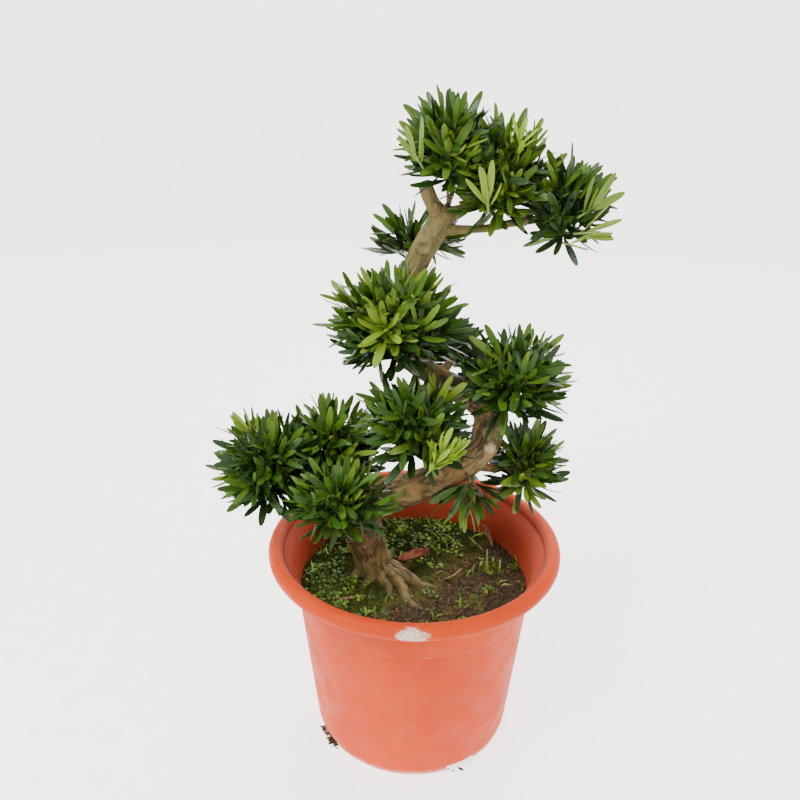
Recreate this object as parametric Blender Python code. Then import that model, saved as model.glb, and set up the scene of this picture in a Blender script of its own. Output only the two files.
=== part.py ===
"""Podocarpus trained in an S shape, with pads of narrow leaves, in a round plastic pot.

Metres, +Z up. The origin is the centre of the pot's flat underside, and the tree faces -Y.
The trunk leans left out of the soil, swings right, then left, and rises to a leader with a cut stub.
Each pad of foliage is one mass: a stem, twigs that fork from it by a seeded rule, and leaves set
round every shoot in a spiral.
"""

import itertools
import math
import random

import bmesh
import bpy
from mathutils import Matrix, Vector
from mathutils.bvhtree import BVHTree

# Running gap between neighbouring pieces
GAP = 0.0003

# A limb's flat foot stands this clear of a round one, so that its chords stay clear too
SEAT_GAP = 0.0004

# Pot: a tapered wall, a band under a rolled rim, and a flat underside with four drain notches
POT_SIDES = 40
POT_HEIGHT = 0.241
RIM_RADIUS = 0.160
RIM_ROLL = 0.0085
BASE_RADIUS = 0.1055
WALL = 0.003
WALL_LOW = (0.1125, 0.015)
WALL_HIGH = (0.1298, 0.1836)
BAND_STEP = 0.0030
POT_FLOOR = 0.005
NOTCH_COUNT = 4
NOTCH_FIRST_DEG = 30.0
NOTCH_WIDTH = 0.040
NOTCH_HEIGHT = 0.012
NOTCH_INNER = 0.094

# Soil that fills the pot to here
GROUND = 0.1830
SOIL_DIP = 0.003
SOIL_FLAT_RADIUS = 0.118

# Trunk: points of its centreline with the radius at each, from the ground to the leader's tip
TRUNK_SIDES = 16
TRUNK_RING_STEP = 0.017
LEAST_RING_STEP = 0.008
TRUNK_KNOTS = (
    (-0.041, 0.014, 0.175, 0.0235),
    (-0.050, 0.016, 0.213, 0.0212),
    (-0.057, 0.012, 0.253, 0.0200),
    (-0.0465, 0.000, 0.286, 0.0194),
    (0.010, -0.012, 0.313, 0.0176),
    (0.061, -0.006, 0.344, 0.0168),
    (0.0755, 0.004, 0.369, 0.0162),
    (0.068, 0.016, 0.394, 0.0150),
    (0.016, 0.024, 0.424, 0.0122),
    (-0.0267, 0.014, 0.461, 0.0113),
    (-0.0239, 0.016, 0.490, 0.0110),
    (-0.0006, 0.022, 0.545, 0.0120),
    (0.0228, 0.022, 0.5868, 0.0120),
    (0.0270, 0.022, 0.597, 0.0102),
)
# The trunk is one node from each of these heights to the next, so that each arm is nearly straight
TRUNK_NODES = (
    ("trunk_foot", 0.0, 0.283),
    ("trunk_low_arm", 0.283, 0.372),
    ("trunk_mid_arm", 0.372, 0.461),
    ("trunk_leader", 0.461, 1.0),
)

# Root flare: direction in degrees from +X, reach along the ground, and radius at the trunk
ROOT_SIDES = 6
ROOTS = (
    (2, 0.058, 0.0066),
    (-23, 0.086, 0.0076),
    (-38, 0.064, 0.0078),
    (-51, 0.106, 0.0066),
    (-76, 0.050, 0.0068),
    (-108, 0.044, 0.0064),
    (-155, 0.048, 0.0070),
    (135, 0.046, 0.0072),
    (62, 0.050, 0.0070),
)
ROOT_START = 0.010
ROOT_TIP_SHARE = 0.35
BELOW_GROUND = 0.024

# Boughs: height on the trunk where each leaves it, a point it bends through, its tip, and its radii
BOUGH_SIDES = 8
BOUGHS = {
    "bough_low_left": (0.246, (-0.090, 0.000, 0.263), (-0.132, -0.004, 0.292), 0.0085, 0.0050),
    "bough_centre": (0.322, (0.021, -0.035, 0.338), (0.011, -0.045, 0.356), 0.0065, 0.0042),
    "bough_right_low": (0.336, (0.086, 0.006, 0.323), (0.100, 0.010, 0.321), 0.0052, 0.0036),
    "bough_right_mid": (0.384, (0.086, 0.008, 0.394), (0.092, 0.002, 0.406), 0.0060, 0.0040),
    "bough_back_mid": (0.421, (0.034, 0.050, 0.424), (0.041, 0.062, 0.428), 0.0055, 0.0038),
    "bough_back_upper": (0.549, (-0.002, 0.040, 0.549), (-0.006, 0.050, 0.552), 0.0052, 0.0036),
    "bough_top_middle": (0.588, (0.046, 0.017, 0.597), (0.066, 0.016, 0.606), 0.0058, 0.0036),
    "bough_top_right": (0.574, (0.062, 0.010, 0.5785), (0.112, 0.008, 0.589), 0.0050, 0.0030),
    "cut_stub": (0.585, (0.0108, 0.017, 0.603), (0.0040, 0.014, 0.6200), 0.0082, 0.0067),
}

# Leaves: narrow and round-ended. These stand for a few each, so they are wider than life
LEAF_LENGTH = 0.051
LEAF_HALF_WIDTH = 0.0074
LEAF_THICKNESS = 0.0014
LEAF_RIDGE_SHARE = 0.30
LEAF_WIDE_SHARE = 0.58
LEAF_ROOT_DEPTH = 0.0009
LEAVES_PER_SHOOT = 7
LEAF_FIT_SHARES = (1.0, 0.9, 0.8, 0.7)
LEAF_SWINGS_DEG = (0, 18, -18, 36, -36, 54, -54)
LEAF_LOW_DEG = 82.0
LEAF_HIGH_DEG = 16.0
SHOOT_LEAFY_LENGTH = 0.018
GOLDEN_DEG = 137.508

# Twigs: three-sided, each starting a little way back inside the one that carries it
TWIG_SIDES = 3
STEM_RADIUS = 0.0024
TWIG_RADIUS = 0.0014
SHOOT_RADIUS = 0.0011
TWIG_SINK = 0.0020
SPINE_FIRST_SHARE = 0.10
TWIG_SWINGS_DEG = (0, 12, -12, 24, -24, 36, -36, 48, -48)
TWIG_REACHES = (1.0, 1.25, 0.8)

# A shoot's tip stands this share of a leaf inside its mass's outline. The top shoot is nearly upright,
# and the lowest one leans out and stands this share of the half height below the centre
TIP_INSET_SHARE = 0.72
LEAST_TIP_SHARE = 0.42
LEAN_TOP_DEG = 6.0
LEAN_LOW_DEG = 66.0
DROOP = 0.45
JITTER = 0.10
LIMB_CLEARANCE = 0.0012
NEIGHBOUR_MARGIN = 0.035

# Masses of foliage: the bough or the height on the trunk that carries the stem, the hub where it
# forks, the centre and half sizes of the space, and the number of shoots
MASSES = {
    "top_left": ("trunk_leader", (0.031, 0.016, 0.615), (0.026, 0.003, 0.655), (0.054, 0.058, 0.055), 7),
    "top_middle": ("top_middle", (0.076, 0.016, 0.614), (0.074, 0.010, 0.627), (0.064, 0.060, 0.059), 7),
    "top_right": ("top_right", (0.124, 0.008, 0.594), (0.137, 0.007, 0.603), (0.052, 0.055, 0.056), 7),
    "back_upper": ("back_upper", (-0.006, 0.060, 0.556), (0.000, 0.060, 0.563), (0.062, 0.044, 0.035), 5),
    "mid_left": (0.466, (-0.036, -0.014, 0.478), (-0.022, -0.006, 0.489), (0.077, 0.066, 0.064), 7),
    "back_mid": ("back_mid", (0.044, 0.076, 0.432), (0.043, 0.080, 0.436), (0.050, 0.044, 0.036), 4),
    "right_mid": ("right_mid", (0.098, -0.004, 0.418), (0.095, -0.002, 0.431), (0.069, 0.062, 0.063), 7),
    "right_low": ("right_low", (0.112, 0.010, 0.322), (0.117, 0.014, 0.326), (0.050, 0.052, 0.056), 7),
    "under": (0.333, (0.062, -0.030, 0.318), (0.054, -0.036, 0.308), (0.040, 0.034, 0.032), 2),
    "centre": ("centre", (0.004, -0.050, 0.374), (-0.002, -0.046, 0.397), (0.066, 0.058, 0.058), 7),
    "low_outer": ("low_left", (-0.148, -0.006, 0.306), (-0.154, -0.005, 0.332), (0.065, 0.066, 0.066), 7),
    "low_inner": (0.284, (-0.074, 0.018, 0.320), (-0.090, 0.022, 0.338), (0.064, 0.058, 0.063), 7),
    "low_front": (0.266, (-0.076, -0.040, 0.296), (-0.078, -0.048, 0.314), (0.062, 0.050, 0.050), 7),
}

# Colours, roughness
FINISHES = {
    "pot": ((0.80, 0.17, 0.08, 1.0), 0.45),
    "soil": ((0.05, 0.045, 0.02, 1.0), 0.95),
    "bark": ((0.26, 0.18, 0.09, 1.0), 0.85),
    "leaf": ((0.06, 0.17, 0.035, 1.0), 0.45),
}


def clear_scene():
    for obj in list(bpy.data.objects):
        bpy.data.objects.remove(obj)


def finish(name):
    """The material of that name, made once."""
    found = bpy.data.materials.get(name)
    if found:
        return found
    colour, roughness = FINISHES[name]
    made = bpy.data.materials.new(name)
    made.use_nodes = True
    shader = made.node_tree.nodes["Principled BSDF"]
    shader.inputs["Base Color"].default_value = colour
    shader.inputs["Roughness"].default_value = roughness
    made.diffuse_color = colour
    return made


def mesh_object(name, points, faces, material, collection=None):
    """A new object from points and faces, in the scene or in a collection."""
    mesh = bpy.data.meshes.new(name)
    mesh.from_pydata([tuple(p) for p in points], [], faces)
    mesh.validate()
    mesh.materials.append(finish(material))
    obj = bpy.data.objects.new(name, mesh)
    (collection or bpy.context.scene.collection).objects.link(obj)
    return obj


def turned(name, profile, sides, material):
    """A solid turned round +Z from a profile that starts and ends on the axis, bottom first."""
    points = [Vector((0, 0, profile[0][1])), Vector((0, 0, profile[-1][1]))]
    inner = profile[1:-1]
    for radius, z in inner:
        for k in range(sides):
            angle = math.tau * k / sides
            points.append(Vector((radius * math.cos(angle), radius * math.sin(angle), z)))
    faces = []
    last = 2 + (len(inner) - 1) * sides
    for k in range(sides):
        n = (k + 1) % sides
        faces.append((0, 2 + n, 2 + k))
        faces.append((1, last + k, last + n))
        for row in range(len(inner) - 1):
            low = 2 + row * sides
            faces.append((low + k, low + n, low + sides + n, low + sides + k))
    return mesh_object(name, points, faces, material)


def tube_mesh(rings, start_centre=None, end_centre=None):
    """Points and faces of a closed tube through rings of equal size, with a fan at each end."""
    sides = len(rings[0])
    points = [p for ring in rings for p in ring]
    start_centre = start_centre or sum(rings[0], Vector()) / sides
    end_centre = end_centre or sum(rings[-1], Vector()) / sides
    points += [start_centre, end_centre]
    first, last = len(points) - 2, len(points) - 1
    faces = []
    for row in range(len(rings) - 1):
        for k in range(sides):
            n = (k + 1) % sides
            low = row * sides
            faces.append((low + k, low + n, low + sides + n, low + sides + k))
    top = (len(rings) - 1) * sides
    for k in range(sides):
        n = (k + 1) % sides
        faces.append((first, n, k))
        faces.append((last, top + k, top + n))
    return points, faces


def spline(knots, step):
    """Samples of a smooth curve through knots of any size, about step apart."""
    knots = [Vector(k) for k in knots]
    padded = [2 * knots[0] - knots[1], *knots, 2 * knots[-1] - knots[-2]]
    samples = []
    for a, b, c, d in zip(padded, padded[1:], padded[2:], padded[3:]):
        count = max(2, math.ceil((c.xyz - b.xyz).length / step))
        for i in range(count):
            t = i / count
            second = 2 * a - 5 * b + 4 * c - d
            third = 3 * b - a - 3 * c + d
            samples.append(0.5 * (2 * b + (c - a) * t + second * t * t + third * t**3))
    samples.append(knots[-1])
    return samples


def frames(path):
    """A tangent and two steady cross directions at each point of a path."""
    result = []
    side = None
    for i, point in enumerate(path):
        ahead = path[min(i + 1, len(path) - 1)]
        behind = path[max(i - 1, 0)]
        tangent = (ahead - behind).normalized()
        if side is None:
            side = tangent.cross(Vector((0, 1, 0)))
            if side.length < 0.1:
                side = tangent.cross(Vector((1, 0, 0)))
        side = (side - tangent * side.dot(tangent)).normalized()
        result.append((tangent, side, tangent.cross(side)))
    return result


def ring(centre, side, across, radius, sides):
    """Points of a circle, counter-clockwise about side x across."""
    return [
        centre
        + side * (radius * math.cos(math.tau * k / sides))
        + across * (radius * math.sin(math.tau * k / sides))
        for k in range(sides)
    ]


class Limb:
    """A round tapering limb: its centreline and its radius at each sample."""

    def __init__(self, path, radii):
        self.path = path
        self.radii = radii

    def clearance(self, point):
        """How far the point is from the limb's skin. It is negative inside."""
        best = math.inf
        for i in range(len(self.path) - 1):
            start, along = self.path[i], self.path[i + 1] - self.path[i]
            t = min(1.0, max(0.0, (point - start).dot(along) / along.length_squared))
            radius = self.radii[i] + t * (self.radii[i + 1] - self.radii[i])
            best = min(best, (point - start - along * t).length - radius)
        return best


def seated(point, direction, limb):
    """The point moved along direction until it stands one gap clear of the limb."""
    low, high = 0.0, 0.06
    for _ in range(24):
        middle = 0.5 * (low + high)
        if limb.clearance(point + direction * middle) < SEAT_GAP:
            low = middle
        else:
            high = middle
    return point + direction * high


def box_mesh(low, high):
    """Points and faces of an upright box between two opposite corners."""
    across, along, up = zip(low, high)
    corners = [Vector((x, y, z)) for z in up for y in along for x in across]
    faces = [(0, 2, 3, 1), (4, 5, 7, 6), (0, 1, 5, 4), (2, 6, 7, 3), (0, 4, 6, 2), (1, 3, 7, 5)]
    return corners, faces


def apply_boolean(obj, operation, operand, solver="EXACT"):
    """Joins or cuts obj with an object or a collection, and removes what it used."""
    modifier = obj.modifiers.new(operation, "BOOLEAN")
    modifier.operation = operation
    modifier.solver = solver
    used = [operand]
    if isinstance(operand, bpy.types.Collection):
        modifier.operand_type = "COLLECTION"
        modifier.collection = operand
        used = list(operand.objects)
    else:
        modifier.object = operand
    with bpy.context.temp_override(object=obj, active_object=obj):
        bpy.ops.object.modifier_apply(modifier=modifier.name)
    for other in used:
        bpy.data.objects.remove(other)
    if isinstance(operand, bpy.types.Collection):
        bpy.data.collections.remove(operand)


def keep_main_shell(obj):
    """Keeps the largest connected shell, so that loose scraps go and sealed hollows are filled."""
    work = bmesh.new()
    work.from_mesh(obj.data)
    seen = set()
    shells = []
    for first in work.verts:
        if first in seen:
            continue
        seen.add(first)
        shell = [first]
        for vert in shell:
            for edge in vert.link_edges:
                other = edge.other_vert(vert)
                if other not in seen:
                    seen.add(other)
                    shell.append(other)
        shells.append(shell)
    shells.sort(key=len)
    bmesh.ops.delete(work, geom=[vert for shell in shells[:-1] for vert in shell], context="VERTS")
    work.to_mesh(obj.data)
    work.free()


def smooth(obj, degrees=40):
    obj.data.shade_smooth()
    obj.data.set_sharp_from_angle(angle=math.radians(degrees))


def rim_arc(start_deg, end_deg, count):
    """Points round the rolled rim's section, from its underside out, over and in."""
    centre_r, centre_z = RIM_RADIUS - RIM_ROLL, POT_HEIGHT - RIM_ROLL
    points = []
    for i in range(count):
        angle = math.radians(start_deg + (end_deg - start_deg) * i / (count - 1))
        points.append((centre_r + RIM_ROLL * math.cos(angle), centre_z + RIM_ROLL * math.sin(angle)))
    return points


def inner_wall():
    """The inside of the pot's wall from the floor up to the throat, as radius and height."""
    return [
        (WALL_LOW[0] - 2 * WALL, POT_FLOOR),
        (WALL_LOW[0] - WALL, WALL_LOW[1]),
        (WALL_HIGH[0] - WALL, WALL_HIGH[1]),
    ]


def make_pot():
    band = WALL_HIGH[0] + BAND_STEP
    throat_z = WALL_HIGH[1]
    outside = [
        (0, 0),
        (BASE_RADIUS, 0),
        (0.5 * (BASE_RADIUS + WALL_LOW[0]) + 0.001, 0.4 * WALL_LOW[1]),
        WALL_LOW,
        WALL_HIGH,
        (band, throat_z + 0.0014),
        (band + 0.0015, throat_z + 0.0234),
        (band + 0.0045, throat_z + 0.0324),
        (band + 0.0110, throat_z + 0.0394),
    ]
    rim = rim_arc(-100, 190, 9)
    inside = [
        (WALL_HIGH[0] + 0.0077, throat_z + 0.0419),
        (WALL_HIGH[0] + 0.0022, throat_z + 0.0324),
        (WALL_HIGH[0] - 0.0003, throat_z + 0.0184),
        *reversed(inner_wall()),
        (0, POT_FLOOR),
    ]
    pot = turned("pot", outside + rim + inside, POT_SIDES, "pot")
    notches = bpy.data.collections.new("notches")
    bpy.context.scene.collection.children.link(notches)
    depth = RIM_RADIUS - NOTCH_INNER
    for k in range(NOTCH_COUNT):
        turn = Matrix.Rotation(math.radians(NOTCH_FIRST_DEG + 360 / NOTCH_COUNT * k), 4, "Z")
        low = (NOTCH_INNER, -NOTCH_WIDTH / 2, -POT_FLOOR)
        high = (NOTCH_INNER + depth, NOTCH_WIDTH / 2, NOTCH_HEIGHT)
        corners, faces = box_mesh(low, high)
        mesh_object(f"notch_{k}", [turn @ c for c in corners], faces, "pot", notches)
    apply_boolean(pot, "DIFFERENCE", notches)
    smooth(pot)


def make_soil():
    """The root ball and soil, one gap inside the pot, with a level top that dips at the edge."""
    top = GROUND - GAP
    floor, low, high = inner_wall()
    share = (top - SOIL_DIP - low[1]) / (high[1] - low[1])
    edge = low[0] + share * (high[0] - low[0])
    profile = [
        (0, floor[1] + GAP),
        (floor[0] - 2 * GAP, floor[1] + GAP),
        (low[0] - 2 * GAP, low[1]),
        (edge - 2 * GAP, top - SOIL_DIP),
        (SOIL_FLAT_RADIUS, top),
        (0, top),
    ]
    smooth(turned("soil", profile, POT_SIDES, "soil"), 30)


def trunk_limb():
    samples = spline(TRUNK_KNOTS, TRUNK_RING_STEP)
    return Limb([s.xyz for s in samples], [s.w for s in samples])


def cut_at(limb, heights):
    """The limb's stations between two heights, as (centre, radius, side, across), ends included."""
    stations = []
    steady = frames(limb.path)
    for i, (centre, radius, frame) in enumerate(zip(limb.path, limb.radii, steady)):
        stations.append((centre, radius, frame[1], frame[2]))
        if i + 1 < len(limb.path):
            ahead = limb.path[i + 1]
            for height in heights:
                if centre.z < height < ahead.z:
                    t = (height - centre.z) / (ahead.z - centre.z)
                    after = steady[i + 1]
                    tangent = frame[0].lerp(after[0], t).normalized()
                    side = frame[1].lerp(after[1], t)
                    side = (side - tangent * side.dot(tangent)).normalized()
                    width = radius + t * (limb.radii[i + 1] - radius)
                    stations.append((centre.lerp(ahead, t), width, side, tangent.cross(side)))
    return stations


def make_trunk(trunk):
    """The trunk in four arms, cut square across at its bends."""
    cuts = [low for _, low, _ in TRUNK_NODES[1:]]
    stations = cut_at(trunk, cuts)
    for name, low, high in TRUNK_NODES:
        mine = [s for s in stations if low - 1e-6 <= s[0].z <= high + 1e-6]
        ends = (mine[0][0], mine[-1][0])
        inner = [s for s in mine[1:-1] if min((s[0] - end).length for end in ends) > LEAST_RING_STEP]
        mine = [mine[0], *inner, mine[-1]]
        rings = []
        for i, (centre, radius, side, across) in enumerate(mine):
            forward = side.cross(across)
            shift = 0.5 * GAP * ((i == 0) - (i == len(mine) - 1))
            rings.append(ring(centre + forward * shift, side, across, radius, TRUNK_SIDES))
        obj = mesh_object(name, *tube_mesh(rings), "bark")
        if name == "trunk_foot":
            add_roots(obj, trunk)
        smooth(obj)


def add_roots(foot, trunk):
    """Fuses the surface roots to the foot and cuts everything off level at the ground."""
    middle = Vector((trunk.path[0].x, trunk.path[0].y, GROUND))
    roots = bpy.data.collections.new("roots")
    bpy.context.scene.collection.children.link(roots)
    for number, (degrees, reach, radius) in enumerate(ROOTS):
        angle = math.radians(degrees)
        out = Vector((math.cos(angle), math.sin(angle), 0))
        sway = Vector((-out.y, out.x, 0)) * (0.10 * reach * (-1) ** number)
        knots = [
            (*(middle + out * ROOT_START + Vector((0, 0, 0.016))), radius * 1.1),
            (*(middle + out * (0.30 * reach + ROOT_START) + Vector((0, 0, 0.0045))), radius * 0.9),
            (*(middle + out * (0.70 * reach) + sway + Vector((0, 0, 0.0015))), radius * 0.62),
            (*(middle + out * reach + sway * 0.3), radius * ROOT_TIP_SHARE),
        ]
        samples = spline(knots, 0.012)
        path = [s.xyz for s in samples]
        rings = [ring(p, f[1], f[2], s.w, ROOT_SIDES) for p, f, s in zip(path, frames(path), samples)]
        mesh_object(f"root_{number}", *tube_mesh(rings), "bark", roots)
    apply_boolean(foot, "UNION", roots)
    below = box_mesh((-RIM_RADIUS, -RIM_RADIUS, GROUND - BELOW_GROUND), (RIM_RADIUS, RIM_RADIUS, GROUND))
    apply_boolean(foot, "DIFFERENCE", mesh_object("below_ground", *below, "bark"))


def at_height(limb, height):
    """The point of the limb's centreline at a height."""
    for a, b in zip(limb.path, limb.path[1:]):
        if a.z <= height <= b.z:
            return a.lerp(b, (height - a.z) / (b.z - a.z))
    return limb.path[-1]


def bough_limb(trunk, height, via, tip, base_radius, tip_radius):
    """A bough's centreline from the trunk's centreline to its tip."""
    start = at_height(trunk, height)
    knots = [
        (*start, base_radius * 1.15),
        (*Vector(start).lerp(Vector(via), 0.55), base_radius),
        (*via, 0.55 * base_radius + 0.45 * tip_radius),
        (*tip, tip_radius),
    ]
    samples = spline(knots, 0.009)
    return Limb([s.xyz for s in samples], [s.w for s in samples])


def seated_rings(limb, carrier, sides):
    """Rings of a limb that leaves a carrier: the first follows the carrier's skin, one gap clear."""
    placed = [
        (centre, radius, frame)
        for centre, radius, frame in zip(limb.path, limb.radii, frames(limb.path))
        if carrier.clearance(centre) > radius * 0.9
    ]
    _, radius, (tangent, side, across) = placed[0]
    start = placed[0][0] - tangent * (carrier.clearance(placed[0][0]) + 0.3 * radius)
    foot = [seated(p, tangent, carrier) for p in ring(start, side, across, radius * 1.12, sides)]
    rings = [foot] + [ring(c, f[1], f[2], r, sides) for c, r, f in placed]
    return rings, seated(start, tangent, carrier)


def make_bough(name, limb, trunk):
    rings, centre = seated_rings(limb, trunk, BOUGH_SIDES)
    smooth(mesh_object(name, *tube_mesh(rings, start_centre=centre), "bark"))


class Mass:
    """The space that one mass of foliage keeps to."""

    def __init__(self, name, carrier, hub, centre, half, shoots):
        self.name = name
        self.carrier = carrier
        self.hub = Vector(hub)
        self.centre = Vector(centre)
        self.half = Vector(half)
        self.shoots = shoots
        self.stem = None

    def depth(self, point):
        """0 at the centre of the space and 1 on its outline."""
        away = point - self.centre
        return Vector((away.x / self.half.x, away.y / self.half.y, away.z / self.half.z)).length


def holds(mass, masses, limbs, points):
    """True where all the points are in the mass's own space and clear of pot and limbs."""
    for point in points:
        depth = mass.depth(point)
        if depth > 1 or point.z < POT_HEIGHT + 4 * LIMB_CLEARANCE:
            return False
        if any(other.depth(point) < depth + NEIGHBOUR_MARGIN for other in masses if other is not mass):
            return False
        if any(limb.clearance(point) < LIMB_CLEARANCE for limb in limbs):
            return False
    return True


def shoot_tips(mass, rng):
    """Tip and direction of each shoot: upright at the top of a dome and leaning out below, lowest first.

    A mass whose hub is above its centre hangs, so its dome is upside down.
    """
    room = [max(LEAST_TIP_SHARE * size, size - TIP_INSET_SHARE * LEAF_LENGTH) for size in mass.half]
    up = math.copysign(1, mass.centre.z - mass.hub.z)
    tips = []
    for i in range(mass.shoots):
        share = (i + 0.5) / mass.shoots
        angle = math.radians(GOLDEN_DEG * i) + rng.uniform(-0.3, 0.3)
        out = Vector((math.cos(angle), math.sin(angle), 0))
        flat = math.sqrt(share)
        rise = (1 - share) * (mass.half.z - TIP_INSET_SHARE * LEAF_LENGTH) - share * DROOP * mass.half.z
        reach = Vector((out.x * flat * room[0], out.y * flat * room[1], up * rise))
        tip = mass.centre + reach * (1 + rng.uniform(-JITTER, JITTER))
        lean = math.radians(LEAN_TOP_DEG + (LEAN_LOW_DEG - LEAN_TOP_DEG) * share)
        tips.append((tip, out * math.sin(lean) + Vector((0, 0, up * math.cos(lean)))))
    return tips[::-1]


def swung(point, centre, degrees):
    """The point turned about the upright line through the centre."""
    return centre + Matrix.Rotation(math.radians(degrees), 3, "Z") @ (point - centre)


def leaf_place(tip, axis, turn, share, swing, length):
    """Root, direction, upper side and length of the leaf at a share of the way up the shoot."""
    side = axis.cross(Vector((0.3, 0.2, 1.0))).normalized()
    across = axis.cross(side)
    tilt = math.radians(LEAF_LOW_DEG + (LEAF_HIGH_DEG - LEAF_LOW_DEG) * share)
    angle = turn + math.radians(swing)
    out = side * math.cos(angle) + across * math.sin(angle)
    direction = axis * math.cos(tilt) + out * math.sin(tilt)
    upper = (axis - direction * axis.dot(direction)).normalized()
    root = tip - axis * (SHOOT_LEAFY_LENGTH * (1 - share) * 0.9 + 0.0015)
    return root, direction, upper, length


def grow_leaf(tip, axis, turn, share, length, fits):
    """The first leaf near its place in the spiral, at full length or shorter, that fits."""
    for size in LEAF_FIT_SHARES:
        for swing in LEAF_SWINGS_DEG:
            place = leaf_place(tip, axis, turn, share, swing, length * size)
            if fits(place):
                return place
    return None


def leaf_mesh(root, direction, upper, length):
    """A blade of six faces, flat below: root, tip, two sides and the top of the midrib."""
    width = direction.cross(upper)
    base = root - direction * LEAF_ROOT_DEPTH - upper * (0.3 * LEAF_THICKNESS)
    points = [
        base,
        base + direction * length,
        base + direction * (length * LEAF_WIDE_SHARE) + width * LEAF_HALF_WIDTH,
        base + direction * (length * LEAF_WIDE_SHARE) - width * LEAF_HALF_WIDTH,
        base + direction * (length * LEAF_RIDGE_SHARE) + upper * LEAF_THICKNESS,
    ]
    faces = [(0, 2, 4), (0, 4, 3), (1, 4, 2), (1, 3, 4), (0, 3, 2), (1, 2, 3)]
    return points, faces


def leaf_samples(root, direction, upper, length):
    """Points along a leaf's middle and edges, for testing where it goes."""
    width = direction.cross(upper)
    result = [root + direction * (length * s) for s in (0.12, 0.3, 0.5, 0.7, 0.85, 1.0)]
    for s, w in ((0.3, 0.55), (0.58, 1.0), (0.8, 0.6)):
        for sign in (-1, 1):
            result.append(root + direction * (length * s) + width * (sign * w * LEAF_HALF_WIDTH))
    return result


def surface_of(obj):
    """An object's faces, for finding what crosses them."""
    corners = [vertex.co for vertex in obj.data.vertices]
    return BVHTree.FromPolygons(corners, [tuple(face.vertices) for face in obj.data.polygons])


def twig_mesh(path, radii):
    return tube_mesh([ring(p, f[1], f[2], r, TWIG_SIDES) for p, f, r in zip(path, frames(path), radii)])


def stem_of(mass, trunk, boughs, top):
    """The stem's line, radii and rings, from a bough's tip or the trunk's skin to the top shoot."""
    if isinstance(mass.carrier, str):
        carrier = trunk if mass.carrier == "trunk_leader" else boughs[f"bough_{mass.carrier}"]
        tangent, side, across = frames(carrier.path)[-1]
        radius = min(STEM_RADIUS, carrier.radii[-1])
        centre = carrier.path[-1] + tangent * GAP
        first = ring(centre, side, across, radius, TWIG_SIDES)
    else:
        origin = at_height(trunk, mass.carrier)
        tangent = (mass.hub - origin).normalized()
        side = tangent.cross(Vector((0, 0, 1))).normalized()
        across = tangent.cross(side)
        centre = seated(origin, tangent, trunk)
        first = [seated(p, tangent, trunk) for p in ring(origin, side, across, STEM_RADIUS, TWIG_SIDES)]
    line = [centre, centre + tangent * 0.006, mass.hub, top]
    radii = [STEM_RADIUS, STEM_RADIUS, STEM_RADIUS * 0.85, SHOOT_RADIUS * 0.8]
    rest = [ring(p, f[1], f[2], r, TWIG_SIDES) for p, f, r in list(zip(line, frames(line), radii))[1:]]
    return Limb(line, radii), aligned([first, *rest]), centre


def aligned(rings):
    """Turns each ring's numbering so that its points follow the ones before."""
    result = [rings[0]]
    for points in rings[1:]:
        count = len(points)
        before = result[-1]
        best = min(
            range(count),
            key=lambda s: sum((points[(k + s) % count] - before[k]).length for k in range(count)),
        )
        result.append([points[(k + best) % count] for k in range(count)])
    return result


def grow_twigs(mass, masses, limbs, solids, tips):
    """Twigs that leave the stem in turn, each bending up into a leafy shoot clear of the others."""
    near, hub, top = mass.stem.path[1:]
    twigs = []
    shoots = [(top, (top - hub).normalized(), 0)]
    trees = []
    for k, (tip, axis) in enumerate(tips[:-1]):
        share = SPINE_FIRST_SHARE + (1 - SPINE_FIRST_SHARE) * k / len(tips)
        start = near.lerp(hub, 2 * share) if share < 0.5 else hub.lerp(top, 2 * share - 1.1)
        for reach, swing in itertools.product(TWIG_REACHES, TWIG_SWINGS_DEG):
            end = swung(mass.centre + (tip - mass.centre) * reach, mass.centre, swing)
            way = swung(axis, Vector(), swing)
            leafy = end - way * SHOOT_LEAFY_LENGTH
            foot = start - (leafy - start).normalized() * TWIG_SINK
            if not holds(mass, masses, limbs, [start.lerp(leafy, 0.3), start.lerp(leafy, 0.6), leafy, end]):
                continue
            radii = [TWIG_RADIUS, SHOOT_RADIUS, SHOOT_RADIUS * 0.8]
            twig = twig_mesh([foot, leafy, end], radii)
            # The foot is left out, because twigs may meet where they leave the stem
            tree = BVHTree.FromPolygons(*twig_mesh([start.lerp(leafy, 0.4), leafy, end], radii))
            crossed = any(BVHTree.FromPolygons(*twig).overlap(solid) for solid in solids)
            if not crossed and not any(tree.overlap(other) for other in trees):
                twigs.append(twig)
                trees.append(tree)
                shoots.append((end, way, len(twigs)))
                break
    return twigs, shoots


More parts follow.
